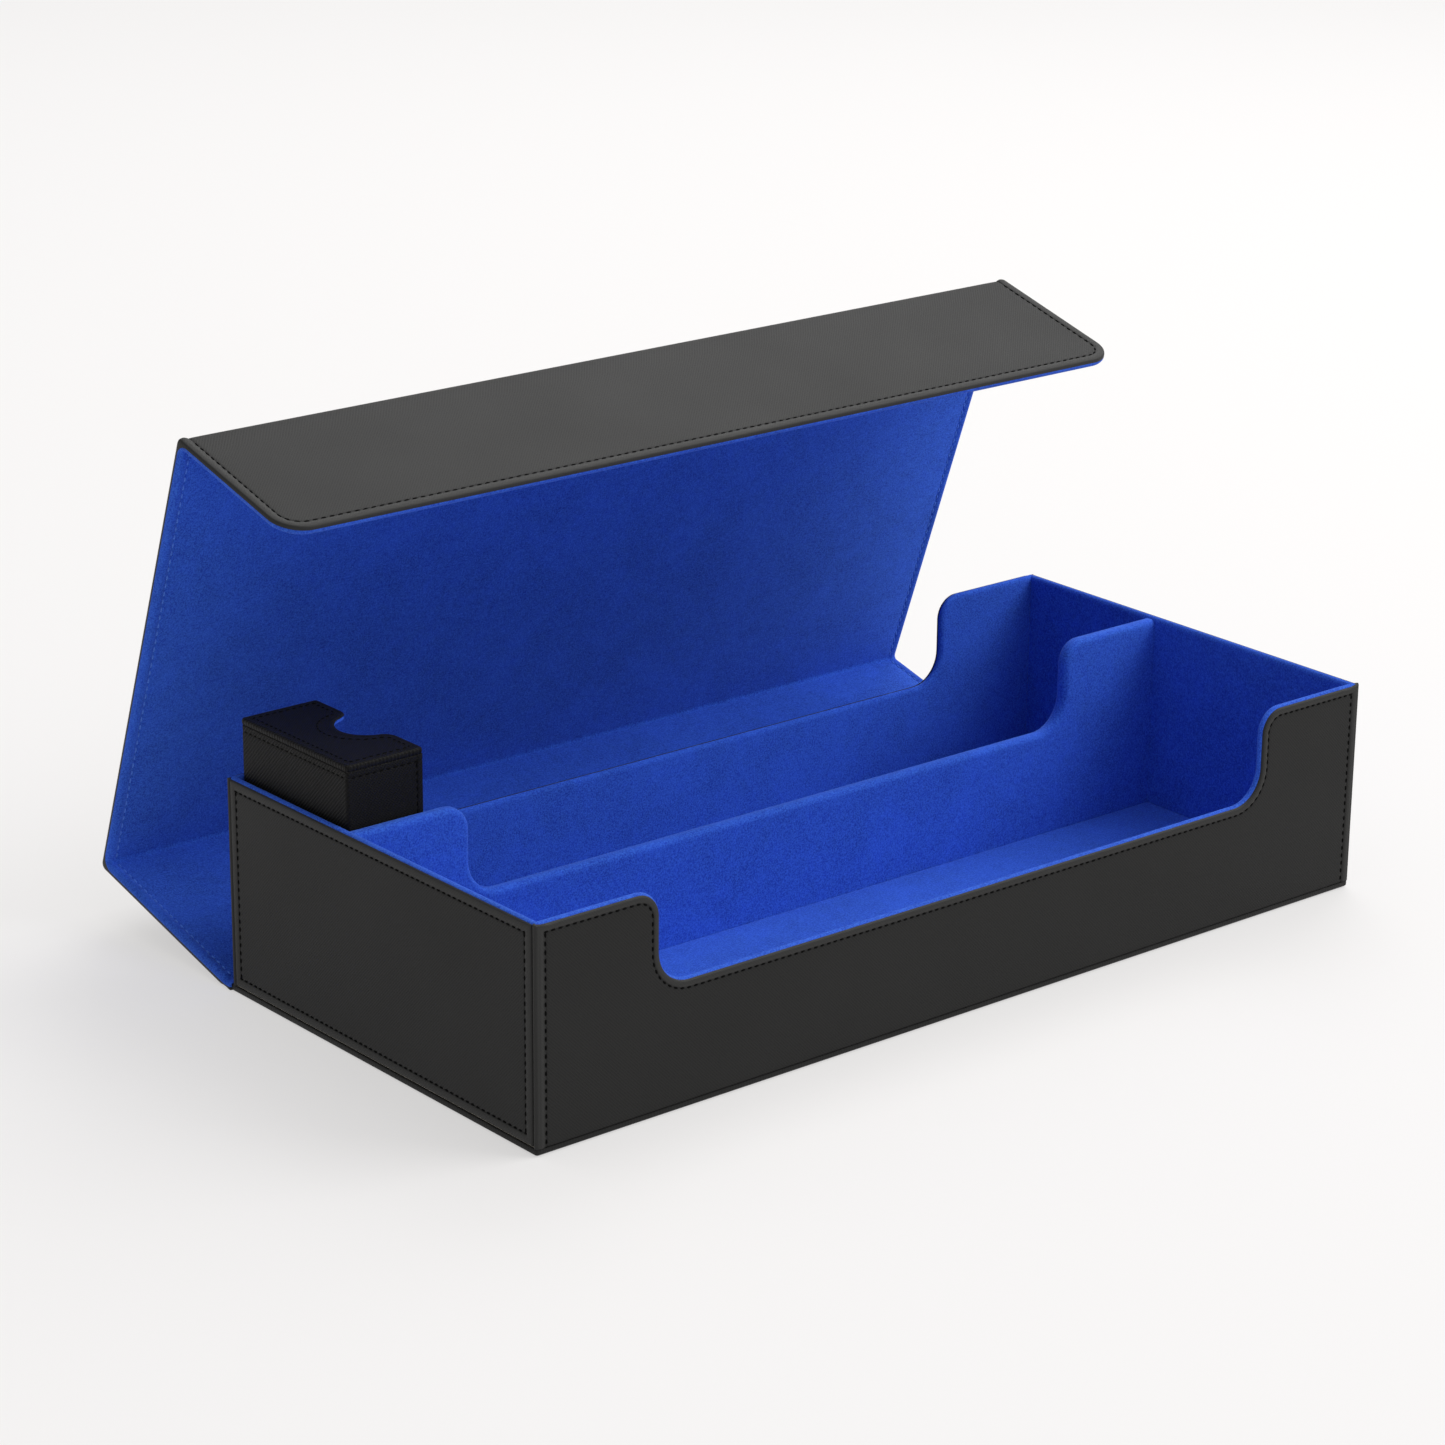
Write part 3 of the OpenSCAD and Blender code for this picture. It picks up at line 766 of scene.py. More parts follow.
def panel_band(label, start, way, length, first, suede):
    """The flat middle of a lid panel, which starts at its first crease."""
    coat, kind = coat_of(suede)
    stops = np.linspace(SPLIT, length - SPLIT, 9)
    mid = [start + way * v for v in stops]
    outer = [p + facing(way, suede) * PANEL_HALF for p in mid]
    split = [p - left_of(way) * EDGE_SPLIT for p in mid]
    piece = lid_band(f"{label}_panel_{kind}", mid, split, outer, [first + v for v in stops], suede)
    finish_piece(piece, coat, [f"{label}_{kind}"], f"{label}_panel")


def smooth_step(v, low, high):
    """A smooth step from 0 at low to 1 at high."""
    t = min(1.0, max(0.0, (v - low) / (high - low)))
    return t * t * (3 - 2 * t)


def turn_between(a, b):
    return math.atan2(a[0] * b[1] - a[1] * b[0], a @ b)


def corner_arc(corner, way_in, way_out, reach, parts):
    """Points of the arc that touches both ways at reach from the corner, ends included, with tangents."""
    turn = turn_between(way_in, way_out)
    radius = reach / math.tan(abs(turn) / 2)
    side = left_of(way_in) * (1 if turn > 0 else -1)
    centre = corner - way_in * reach + side * radius
    found = []
    for i in range(parts + 1):
        a = turn * i / parts
        c, s = math.cos(a), math.sin(a)
        spoke = np.array((c * -side[0] - s * -side[1], s * -side[0] + c * -side[1]))
        tangent = np.array((c * way_in[0] - s * way_in[1], s * way_in[0] + c * way_in[1]))
        found.append((centre + spoke * radius, tangent))
    return found


def travelled(line):
    """Length along a line up to each of its points."""
    return np.concatenate([[0], np.cumsum(np.linalg.norm(np.diff(line, axis=0), axis=1))])


# distances from a crease at which a fold has its rows, beyond its arc
FOLD_STOPS = (2.6, 3.4, 4.5, 6.0, SPLIT)
# radius of the crook in a fold's face, for the leather and for the lining
CROOK = (2.4, 1.5)


def fold_lines(corner, way_in, way_out, suede, crease_first, partner, partner_way):
    """One half of a fold, from the panel to the middle of the strip: the three lines of lid_band and the
    distance of their points from the crease.

    corner is the crease between panel and strip, way_in and way_out run from the panel into the strip when
    crease_first, and from the strip into the panel otherwise. partner is the crease of the panel beyond
    the strip, and partner_way is how that panel runs.
    """
    half = strip_length / 2
    panel_way, to = (way_in, -1) if crease_first else (way_out, 1)
    arc = corner_arc(corner, way_in, way_out, half, 8)
    line = [(v, *spot) for v, spot in zip(np.linspace(-half, half, 9), arc)]
    line += [(to * v, corner + panel_way * (to * v), panel_way) for v in FOLD_STOPS]
    line.sort(key=lambda stop: stop[0])
    mid = [p for _, p, _ in line]
    split = [p - left_of(tangent) * EDGE_SPLIT for _, p, tangent in line]
    panel_face = corner + facing(panel_way, suede) * PANEL_HALF
    partner_face = partner + facing(partner_way, suede) * PANEL_HALF
    cross = np.linalg.solve(np.array((panel_way, -partner_way)).T, partner_face - panel_face)
    meet = panel_face + panel_way * cross[0]
    inward, outward = (panel_way, partner_way) if crease_first else (partner_way, panel_way)
    reach = CROOK[suede] / math.tan((math.pi - turn_between(inward, outward)) / 2)
    crook = [p for p, _ in corner_arc(meet, inward, outward, reach, 12)]
    panel_end = panel_face + panel_way * (to * SPLIT)
    path = np.array([panel_end] + crook[:7] if crease_first else crook[6:] + [panel_end])
    # the same share of the way along the face as along the mid line
    along_face, along_mid = travelled(path), travelled(mid)
    want = along_mid / along_mid[-1] * along_face[-1]
    outer = np.stack([np.interp(want, along_face, path[:, k]) for k in (0, 1)], axis=1)
    return mid, split, outer, [v for v, _, _ in line]


def bend_point(p):
    """A point of the lid's section as a place in metres, half way along the tray."""
    return (0, *(p * MM))


def fold_pair(label, creases, ways, bodies, starts, suede):
    """Both halves of a fold between two panels, each bending across its own crease."""
    coat, kind = coat_of(suede)
    first, second = creases
    way_a, way_s, way_b = ways
    middle = (first + second) / 2
    bends = ((first - way_a * 1.2, middle), (middle, second + way_b * 1.2))
    halves = (("near", first, way_a, way_s, second, way_b), ("far", second, way_s, way_b, first, way_a))
    for k, (part, corner, way_in, way_out, partner, partner_way) in enumerate(halves):
        mid, split, outer, along = fold_lines(corner, way_in, way_out, suede, k == 0, partner, partner_way)
        piece = lid_band(f"{label}_fold_{kind}_{part}", mid, split, outer, [starts[k] + v for v in along],
                         suede)
        finish_piece(piece, coat, [f"{label}_strip_{kind}"],
                     bend=(bodies[k], bodies[k + 1], bend_point(bends[k][0]), bend_point(bends[k][1])))


def rear_fold(suede):
    """The sheet that runs from under the rear wall over the hinge and onto the back panel."""
    coat, kind = coat_of(suede)
    low = lane_y + 4.6 if suede else base_high[1]
    reach, parts = 1.5, 8
    arc = corner_arc(hinge, base_way, back_way, reach, parts)
    stops = [low - hinge[0], -2.6, -2.0, -1.5, -1.0, -0.5, 0.0, 0.5, 1.0, 1.5, 2.0, 2.6, 3.4, 4.6, 6.2, SPLIT]
    mid, split, outer = [], [], []
    for v in stops:
        if abs(v) < reach:
            p, way = arc[round((v + reach) / (2 * reach) * parts)]
        else:
            way = back_way if v > 0 else base_way
            p = hinge + way * v
        thin = 1 - smooth_step(abs(v), 0.2, 3.2)
        # the lining is thin on the tray too, and thinnest in the fold
        panel = STRIP_HALF if suede and v <= 0 else PANEL_HALF
        fold = STRIP_HALF - 0.1 if suede else STRIP_HALF
        mid.append(p)
        split.append(p - left_of(way) * EDGE_SPLIT)
        outer.append(p + facing(way, suede) * (panel + (fold - panel) * thin))
    piece = lid_band(f"rear_fold_{kind}", mid, split, outer, stops, suede)
    start, end = hinge - base_way * 1.9, hinge + back_way * 2.1
    finish_piece(piece, coat, [f"rear_strip_{kind}"],
                 bend=("tray", "back_panel", bend_point(start), bend_point(end)))


def flap_path(inset, low):
    """The flap's three free edges, drawn back by inset: u along the lid, v away from its crease."""
    corner = max(FLAP_CORNER - inset, 0.05)
    reach, far = half_x + LID_OVER - inset, FLAP_LENGTH + 0.4 - inset
    path = run((-reach, low), (-reach, far - corner), 8)
    path += bow((-reach + corner, far - corner), corner, 180, 90, 12)
    path += run((-reach + corner, far), (reach - corner, far), 40)
    path += bow((reach - corner, far - corner), corner, 90, 0, 12)
    return path + runs([(reach, far - corner), (reach, low)], (8,))


def flap_skin(suede):
    """One face of the flap with its turned edge and rounded corners."""
    coat, kind = coat_of(suede)
    side = facing(flap_way, suede)
    rings, sheets, rims = [], [], []
    start = LINING_START if suede else LEATHER_START
    for inset, height in start + [(e, lid_height(e, suede)) for e in edge_steps(LID_SEAM)]:
        path = flap_path(inset, SPLIT)
        rings.append([(u, *(fold_2 + flap_way * v + side * height)) for u, v in path])
        sheets.append([(u, start_flap + v) for u, v in path])
        rims.append(turned(inset, LID_SEAM))
    piece = ringed(f"flap_{kind}_skin", rings, sheets, True, rims)
    finish_piece(piece, coat, [f"flap_{kind}"], "flap")


for suede in (False, True):
    rear_fold(suede)
    panel_band("back", hinge, back_way, back_length, 0.0, suede)
    fold_pair("top", (crease_1, fold_1), (back_way, strip_1_way, top_way),
              ("back_panel", "top_strip", "top_panel"), (start_strip_1, start_top), suede)
    panel_band("top", fold_1, top_way, top_length, start_top, suede)
    fold_pair("flap", (crease_2, fold_2), (top_way, strip_2_way, flap_way),
              ("top_panel", "flap_strip", "flap"), (start_strip_2, start_flap), suede)
    flap_skin(suede)

# ---- small deck box ----

DECK_CORNER = 1.3
# thickness of the deck box's leather
DECK_FACE = 0.5
# height of the bead that runs round its upper end
DECK_BAND = 2.4
DECK_SEAM = 2.6
DECK_SIDE_SEAM = 2.7
DECK_LEATHER_CORNER = 1.2


def deck_wrap():
    """Leather round the back and both sides of the deck box, one sheet with two upright corners."""
    side = deck_x1 - deck_x0
    back = deck_y1 - deck_y0
    bend = DECK_CORNER * math.pi / 2
    total = 2 * (side - DECK_CORNER) + 2 * bend + back - 2 * DECK_CORNER
    low, high = deck_foot + 0.5, deck_top - DECK_BAND

    def place(u, v, h):
        out = h - DECK_FACE
        s = total / 2 - abs(u)
        if s <= side - DECK_CORNER:
            x, y = deck_x1 - s, deck_y0 - out
        elif s <= side - DECK_CORNER + bend:
            a = (s - (side - DECK_CORNER)) / DECK_CORNER
            reach = DECK_CORNER + out
            x = deck_x0 + DECK_CORNER - reach * math.sin(a)
            y = deck_y0 + DECK_CORNER - reach * math.cos(a)
        else:
            x, y = deck_x0 - out, deck_y0 + DECK_CORNER + (s - (side - DECK_CORNER + bend))
        return x, deck_y0 + deck_y1 - y if u > 0 else y, v

    def height(u, v):
        h = hem(total / 2 - abs(u), DECK_SIDE_SEAM, DECK_FACE, rise=0.1, sink=0.14, radius=0.5)
        below = high - v
        h *= math.sqrt(1 - (1 - min(below / 0.5, (v - low) / 0.5, 1)) ** 2)
        h -= 0.12 * math.exp(-((below - DECK_SEAM) / 0.4) ** 2)
        return max(h, 0.05)

    corner = total / 2 - (side - DECK_CORNER)
    us = spread(-total / 2, total / 2, edge_steps(DECK_SIDE_SEAM)[:-2])
    for sign in (-1, 1):
        us += [sign * (corner - bend * i / 8) for i in range(-1, 10)]
    vs = spread(low, high, edge_steps(DECK_SEAM)[:-2])
    piece = grid("deck_box_wrap", sorted(us), vs, height, place)
    finish_piece(piece, DECK_LEATHER, ["deck_back_leather", "deck_side_leather"], "deck_box")


def thumb_path(inset):
    """The deck box's end seen from above, with the thumb notch in its open edge."""
    x0, x1, y0, y1 = deck_x0 + inset, deck_x1 - inset, deck_y0 + inset, deck_y1 - inset
    middle = (deck_y0 + deck_y1) / 2
    reach, shoulder = THUMB_RADIUS + inset, THUMB_SHOULDER - inset
    corner = max(DECK_LEATHER_CORNER - inset, 0.05)
    path = bow((x1 - corner, y1 - corner), corner, 0, 90, 4)
    path += run((x1 - corner, y1), (x0 + corner, y1), 6)
    path += bow((x0 + corner, y1 - corner), corner, 90, 180, 4)
    path += run((x0, y1 - corner), (x0, y0 + corner), 10)
    path += bow((x0 + corner, y0 + corner), corner, 180, 270, 4)
    path += run((x0 + corner, y0), (x1 - corner, y0), 6)
    path += bow((x1 - corner, y0 + corner), corner, 270, 360, 4)
    tuck = math.sqrt((reach + shoulder) ** 2 - shoulder ** 2)
    meet = math.degrees(math.atan2(tuck, shoulder))
    path += run((x1, y0 + corner), (x1, middle - tuck), 4)
    path += bow((x1 - shoulder, middle - tuck), shoulder, 0, meet, 6)
    path += bow((x1, middle), reach, 180 + meet, 180 - meet, 14)
    path += bow((x1 - shoulder, middle + tuck), shoulder, -meet, 0, 6)
    path += run((x1, middle + tuck), (x1, y1 - corner), 4)
    return np.array(path)


# the points of thumb_path that lie on the notch
NOTCH_START, NOTCH_END = 42, 67


def deck_top_panel():
    """Leather on the upper end: a panel with a rounded bead along its edge, which is flat in the notch."""
    section = [(0.45, 0.1 - DECK_BAND), (0.1, 0.05 - DECK_BAND), (-0.05, 0.25 - DECK_BAND),
               (-0.14, 0.7 - DECK_BAND), (-0.18, -1.3), (-0.18, -0.9), (-0.08, -0.5), (0.1, -0.18),
               (0.4, 0.04), (0.85, 0.14), (1.4, 0.08), (1.8, -0.06), (2.1, -0.04), (2.7, 0.0), (3.6, 0.02),
               (4.4, 0.02)]
    rings, sheets = [], []
    for inset, depth in section:
        path = thumb_path(inset)
        depths = [depth] * len(path)
        for k in range(NOTCH_START, NOTCH_END + 1):
            depths[k] = max(depth, -0.5 - inset * 0.1)
        rings.append([(x, y, deck_top + d) for (x, y), d in zip(path, depths)])
        sheets.append(path)
    finish_piece(ringed("deck_box_top", rings, sheets), DECK_LEATHER, ["deck_top_leather"], "deck_box")


def deck_foot_panel():
    section = [(0.5, -0.5), (0.0, -0.4), (0.02, -0.2), (0.25, -0.03), (0.6, 0.0), (1.2, 0.0), (1.6, 0.0)]
    piece = lofted("deck_box_foot", section,
                   lambda inset, _: box_path(deck_x0, deck_x1, deck_y0, deck_y1, DECK_LEATHER_CORNER, inset),
                   lambda x, y, depth: (x, y, deck_foot - depth))
    finish_piece(piece, DECK_LEATHER, ["deck_foot_leather"], "deck_box")


deck_wrap()
deck_top_panel()
deck_foot_panel()


def lip(name, points, across, out, widths):
    """A soft half-round strip: its section spans the wall's edge along across and bulges along out."""
    turns = [(-1.0, -0.3), (-1.0, 0.05), (-0.86, 0.38), (-0.5, 0.56), (0.0, 0.62), (0.5, 0.56), (0.86, 0.38),
             (1.0, 0.05), (1.0, -0.3)]
    rings = []
    for p, a, f, w in zip(points, across, out, widths):
        rings.append([tuple(np.array(p) + np.array(a) * s * w + np.array(f) * h) for s, h in turns])
    sheets = [[(q[1], q[2]) for q in ring] for ring in rings]
    return ringed(name, rings, sheets)


def join(objects, name):
    """Several meshes as one."""
    body = bmesh.new()
    for o in objects:
        body.from_mesh(o.data)
        bpy.data.objects.remove(o)
    mesh = bpy.data.meshes.new(name)
    body.to_mesh(mesh)
    body.free()
    return linked(name, mesh)


def deck_lining():
    """Suede inside the deck box: five faces, and a rounded lip over the boards' open edges."""
    inside = 2.1
    x0, x1 = deck_x0 + inside - 0.5, deck_x1 - 0.35
    y0, y1 = deck_y0 + inside, deck_y1 - inside
    z0, z1 = deck_foot + inside, deck_top - inside
    section = [(0.2, 0.0), (0.0, 0.08), (0.0, 0.3), (0.15, 0.46), (0.4, 0.5), (0.9, 0.5), (1.3, 0.5)]
    pads = [[[(x0 + d, y, z) for y, z in box_path(y0, y1, z0, z1, 0.6, i)] for i, d in section]]
    for sign, y in ((1, y0 - 0.5), (-1, y1 + 0.5)):
        pads.append([[(x, y + sign * d, z) for x, z in box_path(x0, x1, z0, z1, 0.6, i)] for i, d in section])
    pads.append([[(x, y, z0 - 0.5 + d) for x, y in box_path(x0, x1, y0, y1, 0.6, i)] for i, d in section])
    ceiling = []
    for i, d in section:
        open_edge = thumb_path(i + 0.02)
        reach = open_edge[:, 0].max()
        path = runs([(reach, y1 - i), (x0 + i, y1 - i), (x0 + i, y0 + i), (reach, y0 + i)], (6, 10, 6))
        path += list(open_edge[NOTCH_START:NOTCH_END + 1])
        ceiling.append([(x, y, z1 + 0.5 - d) for x, y in path])
    pads.append(ceiling)
    objects = []
    for k, rings in enumerate(pads):
        sheets = [[(p[0] + p[2], p[1] + p[2]) for p in ring] for ring in rings]
        objects.append(ringed(f"deck_lining_part_{k}", rings, sheets))
    # lip over the open edges of the two sides and the foot, then over the top edge and its thumb notch
    half, lip_inset, middle = 0.78, 0.62, 1.32
    slant = math.sqrt(0.5)
    left, right, low, high = deck_y0 + middle, deck_y1 - middle, deck_foot + middle, deck_top - middle
    line = runs([(left, high + half), (left, low), (right, low), (right, high + half)], (12, 10, 12))
    across = [(0, -1, 0)] * 12 + [(0, -slant, -slant)] + [(0, 0, -1)] * 9 + [(0, slant, -slant)]
    across += [(0, 1, 0)] * (len(line) - len(across))
    widths = [half / max(abs(y), abs(z)) for _, y, z in across]
    points = [(deck_x1 - lip_inset, y, z) for y, z in line]
    objects.append(lip("deck_lip_frame", points, across, [(1, 0, 0)] * len(line), widths))
    keep = [p for p in thumb_path(lip_inset) if p[0] > deck_x1 - 16 and left < p[1] < right]
    keep.sort(key=lambda p: math.atan2(p[1] - (deck_y0 + deck_y1) / 2, deck_x1 + 14 - p[0]))
    ends = [np.array((deck_x1 - lip_inset, y)) for y in (left - half, right + half)]
    line = np.array(ends[:1] + keep + ends[1:])
    ways = np.gradient(line, axis=0)
    normals = np.stack([ways[:, 1], -ways[:, 0]], axis=1)
    normals /= np.linalg.norm(normals, axis=1)[:, None]
    objects.append(lip("deck_lip_top", [(x, y, high) for x, y in line], [(0, 0, 1)] * len(line),
                       [(x, y, 0) for x, y in normals], [half] * len(line)))
    return join(objects, "deck_box_lining")


finish_piece(deck_lining(), SUEDE, ["deck_lining_shell"], "deck_box")

# ---- stitches ----


def stitch_tree():
    """Geometry nodes that set one stitch after another along rows."""
    tree = bpy.data.node_groups.new("stitch rows", "GeometryNodeTree")
    face = tree.interface
    face.new_socket("Rows", in_out="INPUT", socket_type="NodeSocketGeometry")
    for label, value in (("Pitch", 0.0036), ("Length", 0.0028), ("Width", 0.0007), ("Height", 0.0006)):
        face.new_socket(label, in_out="INPUT", socket_type="NodeSocketFloat").default_value = value
    face.new_socket("Thread", in_out="INPUT", socket_type="NodeSocketMaterial")
    face.new_socket("Stitches", in_out="OUTPUT", socket_type="NodeSocketGeometry")
    t = Tree(tree)
    given = t.add("NodeGroupInput").outputs
    curve = t.out("GeometryNodeMeshToCurve", "Curve", {"Mesh": given["Rows"]})
    spaced = t.out("GeometryNodeResampleCurve", "Curve", {"Curve": curve, "Length": given["Pitch"]},
                   mode="LENGTH")
    ball = t.out("GeometryNodeMeshUVSphere", "Mesh", {"Segments": 7, "Rings": 6, "Radius": 0.5})
    # the ball's poles turn to the ends of the stitch
    upright = {"Geometry": ball, "Rotation": (0, math.pi / 2, 0)}
    bead = t.out("GeometryNodeTransform", "Geometry", upright)
    size = t.out("ShaderNodeCombineXYZ", "Vector",
                 {"X": given["Length"], "Y": given["Width"], "Z": given["Height"]})
    stitch = t.out("GeometryNodeTransform", "Geometry", {"Geometry": bead, "Scale": size})
    tangent = t.out("GeometryNodeInputTangent", "Tangent")
    outward = t.out("GeometryNodeInputNamedAttribute", "Attribute", {"Name": "facing"},
                    data_type="FLOAT_VECTOR")
    along_row = t.out("FunctionNodeAlignRotationToVector", "Rotation", {"Vector": tangent}, axis="X")
    rotation = t.out("FunctionNodeAlignRotationToVector", "Rotation",
                     {"Rotation": along_row, "Vector": outward}, axis="Z", pivot_axis="X")
    placed = t.out("GeometryNodeInstanceOnPoints", "Instances",
                   {"Points": spaced, "Instance": stitch, "Rotation": rotation})
    real = t.out("GeometryNodeRealizeInstances", "Geometry", {"Geometry": placed})
    smooth = t.out("GeometryNodeSetShadeSmooth", "Geometry", {"Geometry": real})
    painted = t.out("GeometryNodeSetMaterial", "Geometry", {"Geometry": smooth, "Material": given["Thread"]})
    t.add("NodeGroupOutput", {"Stitches": painted})
    return tree


stitch_rows = stitch_tree()


def sewn(name, rows, coat, nodes, body, pitch=3.15, length=1.9, width=0.85, height=0.9):
    """Turns rows of (points, facings), in millimetres, into stitches that ride on a body."""
    points, facings, edges = [], [], []
    for line, directions in rows:
        first = len(points)
        points += [tuple(np.array(p) * MM) for p in line]
        facings += directions
        edges += [(first + i, first + i + 1) for i in range(len(line) - 1)]
    mesh = bpy.data.meshes.new(name + "_rows")
    mesh.from_pydata(points, edges, [])
    mesh.attributes.new("facing", "FLOAT_VECTOR", "POINT").data.foreach_set(
        "vector", np.array(facings, np.float32).ravel())
    rows_object = linked(name + "_rows", mesh)
    modifier = rows_object.modifiers.new("stitches", "NODES")
    modifier.node_group = stitch_rows
    values = {"Pitch": pitch * MM, "Length": length * MM, "Width": width * MM, "Height": height * MM,
              "Thread": coat[0]}
    for item in stitch_rows.interface.items_tree:
        if item.item_type == "SOCKET" and item.in_out == "INPUT" and item.name in values:
            modifier[item.identifier] = values[item.name]
    graph = bpy.context.evaluated_depsgraph_get()
    made_mesh = bpy.data.meshes.new_from_object(rows_object.evaluated_get(graph))
    bpy.data.objects.remove(rows_object)
    finish_piece(linked(name, made_mesh), coat, nodes, body)


def row(points, direction):
    """A straight or curved row whose stitches all face the same way."""
    return [tuple(p) for p in points], [direction] * len(points)


# depth of a row's middle line under the face that it is sewn on
SUNK = 0.1


def wall_rows(sign):
    """Rows on the front or rear wall: along the rim and notch, and down both upright edges."""
    y = sign * (half_y - SUNK)
    back = RIM_SEAM + SETBACK[sign]
    edge = half_x - CORNER_SEAM
    path = notched(edge - 0.4, wall_foot, leather_top, back)[10:-10]
    rows = [row([(x, y, z) for x, z in path], (0, sign, 0))]
    for x in (-edge, edge):
        rows.append(row([(x, y, wall_foot + 2), (x, y, leather_top - back - 1.2)], (0, sign, 0)))
    return rows


def end_rows(sign):
    """Rows on an end of the tray: down both upright edges, then along the foot and the rim."""
    x = sign * (half_x - SUNK)
    y0, z0 = end_leather_low[1:] + END_SEAM
    y1, z1 = end_leather_high[1:] - END_SEAM
    z1 -= SETBACK[sign]
    rows = [row([(x, y, z0 + 1), (x, y, z1 - 1)], (sign, 0, 0)) for y in (y0, y1)]
    return rows + [row([(x, y0, z), (x, y1, z)], (sign, 0, 0)) for z in (z0, z1)]


def panel_rows(start, way, low, high, suede):
    side = facing(way, suede)
    edge = half_x + LID_OVER - LID_SEAM
    ends = [start + way * v + side * (PANEL_HALF - SUNK) for v in (low, high)]
    return [row([(x, *p) for p in ends], (0, *side)) for x in (-edge, edge)]


def flap_rows(suede):
    side = facing(flap_way, suede)
    line = [(u, *(fold_2 + flap_way * v + side * (PANEL_HALF - SUNK))) for u, v in flap_path(LID_SEAM, 1.8)]
    return [row(line, (0, *side))]


def deck_rows():
    """Rows round the deck box below its bead, down its open edges and round its upper end."""
    z = deck_top - DECK_BAND - DECK_SEAM
    sunk = 0.08
    x, edge = deck_x0 + sunk, deck_x1 - DECK_SIDE_SEAM
    rows = [row([(x, deck_y0 + 3, z), (x, deck_y1 - 3, z)], (-1, 0, 0))]
    sides = ((deck_y0 + sunk, (0, -1, 0)), (deck_y1 - sunk, (0, 1, 0)))
    rows += [row([(deck_x0 + 3, y, z), (deck_x1 - 3, y, z)], out) for y, out in sides]
    rows += [row([(edge, y, deck_foot + 3), (edge, y, z - 1.5)], out) for y, out in sides]
    path = thumb_path(3.4)
    rows.append(row([(x, y, deck_top + 0.02) for x, y in np.vstack([path, path[:1]])], (0, 0, 1)))
    return rows


for sign, side in WALLS:
    sewn(f"{side}_wall_stitches", wall_rows(sign), BLACK, [f"{side}_thread"], "tray")
for sign, side in ENDS:
    sewn(f"{side}_end_stitches", end_rows(sign), BLACK, [f"{side}_thread"], "tray")
LONG = {"pitch": 3.7, "length": 2.3, "width": 0.85}
for label, start, way, low, length in (("back", hinge, back_way, 3.4, back_length),
                                       ("top", fold_1, top_way, 2, top_length)):
    for suede, kind, coat, nodes in ((True, "lining", BLUE, [f"{label}_thread"]),
                                     (False, "leather", BLACK, [])):
        rows = panel_rows(start, way, low, length - 2, suede)
        sewn(f"{label}_{kind}_stitches", rows, coat, nodes, f"{label}_panel", **LONG)
sewn("flap_leather_stitches", flap_rows(False), BLACK, ["flap_thread"], "flap", **LONG)
sewn("flap_lining_stitches", flap_rows(True), BLUE, ["flap_lining_thread"], "flap", **LONG)
sewn("deck_box_stitches", deck_rows(), BLACK, ["deck_thread"], "deck_box", pitch=3.0, length=1.9, width=0.7,
     height=0.6)

# ---- floor, light and camera ----

FLOOR_HALF = 9.0
FLOOR_DROP = 0.0004
CAMERA_PLACE = (-1.0330, -1.18171, 0.63790)
CAMERA_TURN, CAMERA_DOWN, CAMERA_ROLL = math.radians(39.871), math.radians(19.245), math.radians(0.5)
CAMERA_LENS = 105.7


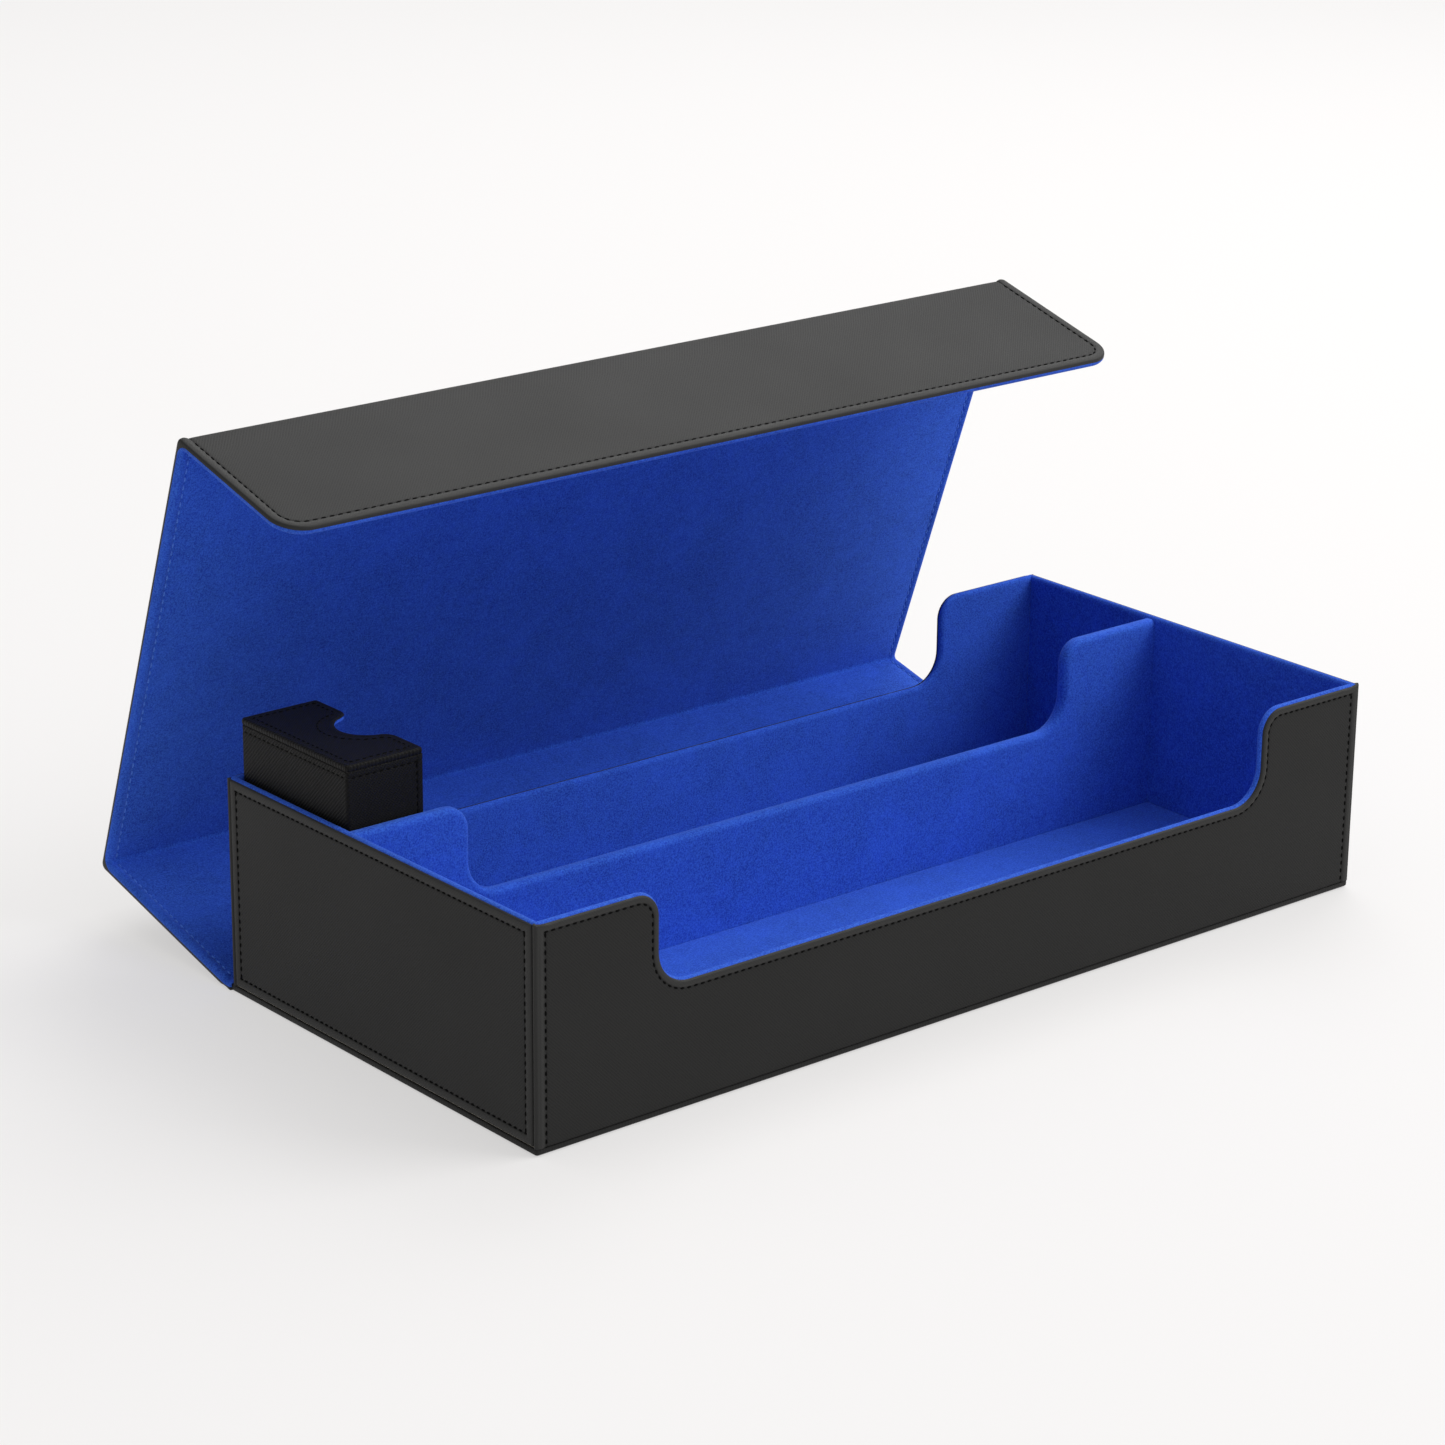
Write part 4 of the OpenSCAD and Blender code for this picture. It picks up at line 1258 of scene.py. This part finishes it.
def stage_floor():
    mesh = bpy.data.meshes.new("floor")
    corners = [(x * FLOOR_HALF, y * FLOOR_HALF, 0) for x, y in ((-1, -1), (1, -1), (1, 1), (-1, 1))]
    mesh.from_pydata(corners, [], [(0, 1, 2, 3)])
    made = linked("floor", mesh)
    made.location.z = -FLOOR_DROP
    paint, _, _ = material("pale floor", {
        "Base Color": (0.37, 0.363, 0.362, 1), "Emission Color": (1.0, 0.99, 0.985, 1),
        "Emission Strength": 0.54, "Roughness": 0.75, "Specular IOR Level": 0.2})
    mesh.materials.append(paint)


def sky_light():
    """A soft dome, bright overhead and dimmer towards the horizon and to the left."""
    world = bpy.data.worlds.new("studio")
    bpy.context.scene.world = world
    world.use_nodes = True
    world.node_tree.nodes.clear()
    t = Tree(world.node_tree)
    way = t.out("ShaderNodeTexCoord", "Generated")
    parts = t.add("ShaderNodeSeparateXYZ", {"Vector": way}).outputs
    overhead = t.ramp(parts["Z"], 0.0, 1.0, 0.2, 1.0)
    power = t.math("MULTIPLY", overhead, t.ramp(parts["X"], -1.0, 1.0, 0.42, 1.4))
    dome = t.out("ShaderNodeBackground", "Background", {"Color": (1.0, 0.995, 0.985, 1), "Strength": power})
    t.add("ShaderNodeOutputWorld", {"Surface": dome})


def soft_box(name, place, target, size, power):
    light = bpy.data.lights.new(name, "AREA")
    light.shape = "RECTANGLE"
    light.size, light.size_y = size
    light.energy = power
    made = linked(name, light)
    made.location = place
    made.rotation_euler = (Vector(target) - Vector(place)).to_track_quat("-Z", "Y").to_euler()


def camera():
    turn, down, roll = CAMERA_TURN, CAMERA_DOWN, CAMERA_ROLL
    ahead = Vector((math.sin(turn) * math.cos(down), math.cos(turn) * math.cos(down), -math.sin(down)))
    right = Vector((math.cos(turn), -math.sin(turn), 0))
    up = right.cross(ahead)
    across = right * math.cos(roll) + up * math.sin(roll)
    over = up * math.cos(roll) - right * math.sin(roll)
    lens = bpy.data.cameras.new("camera")
    lens.lens, lens.sensor_width = CAMERA_LENS, 36.0
    lens.clip_start, lens.clip_end = 0.05, 60
    made = linked("camera", lens)
    axes = Matrix((across, over, -ahead)).transposed()
    made.matrix_world = Matrix.Translation(CAMERA_PLACE) @ axes.to_4x4()
    bpy.context.scene.camera = made


stage_floor()
sky_light()
soft_box("high behind", (1.45, 1.16, 1.78), (0, 0.08, 0.2), (1.6, 1.4), 15)
soft_box("front right", (1.85, -1.45, 2.1), (0.1, 0, 0.08), (2.0, 1.8), 44)
camera()
bpy.context.scene.view_settings.view_transform = "Standard"
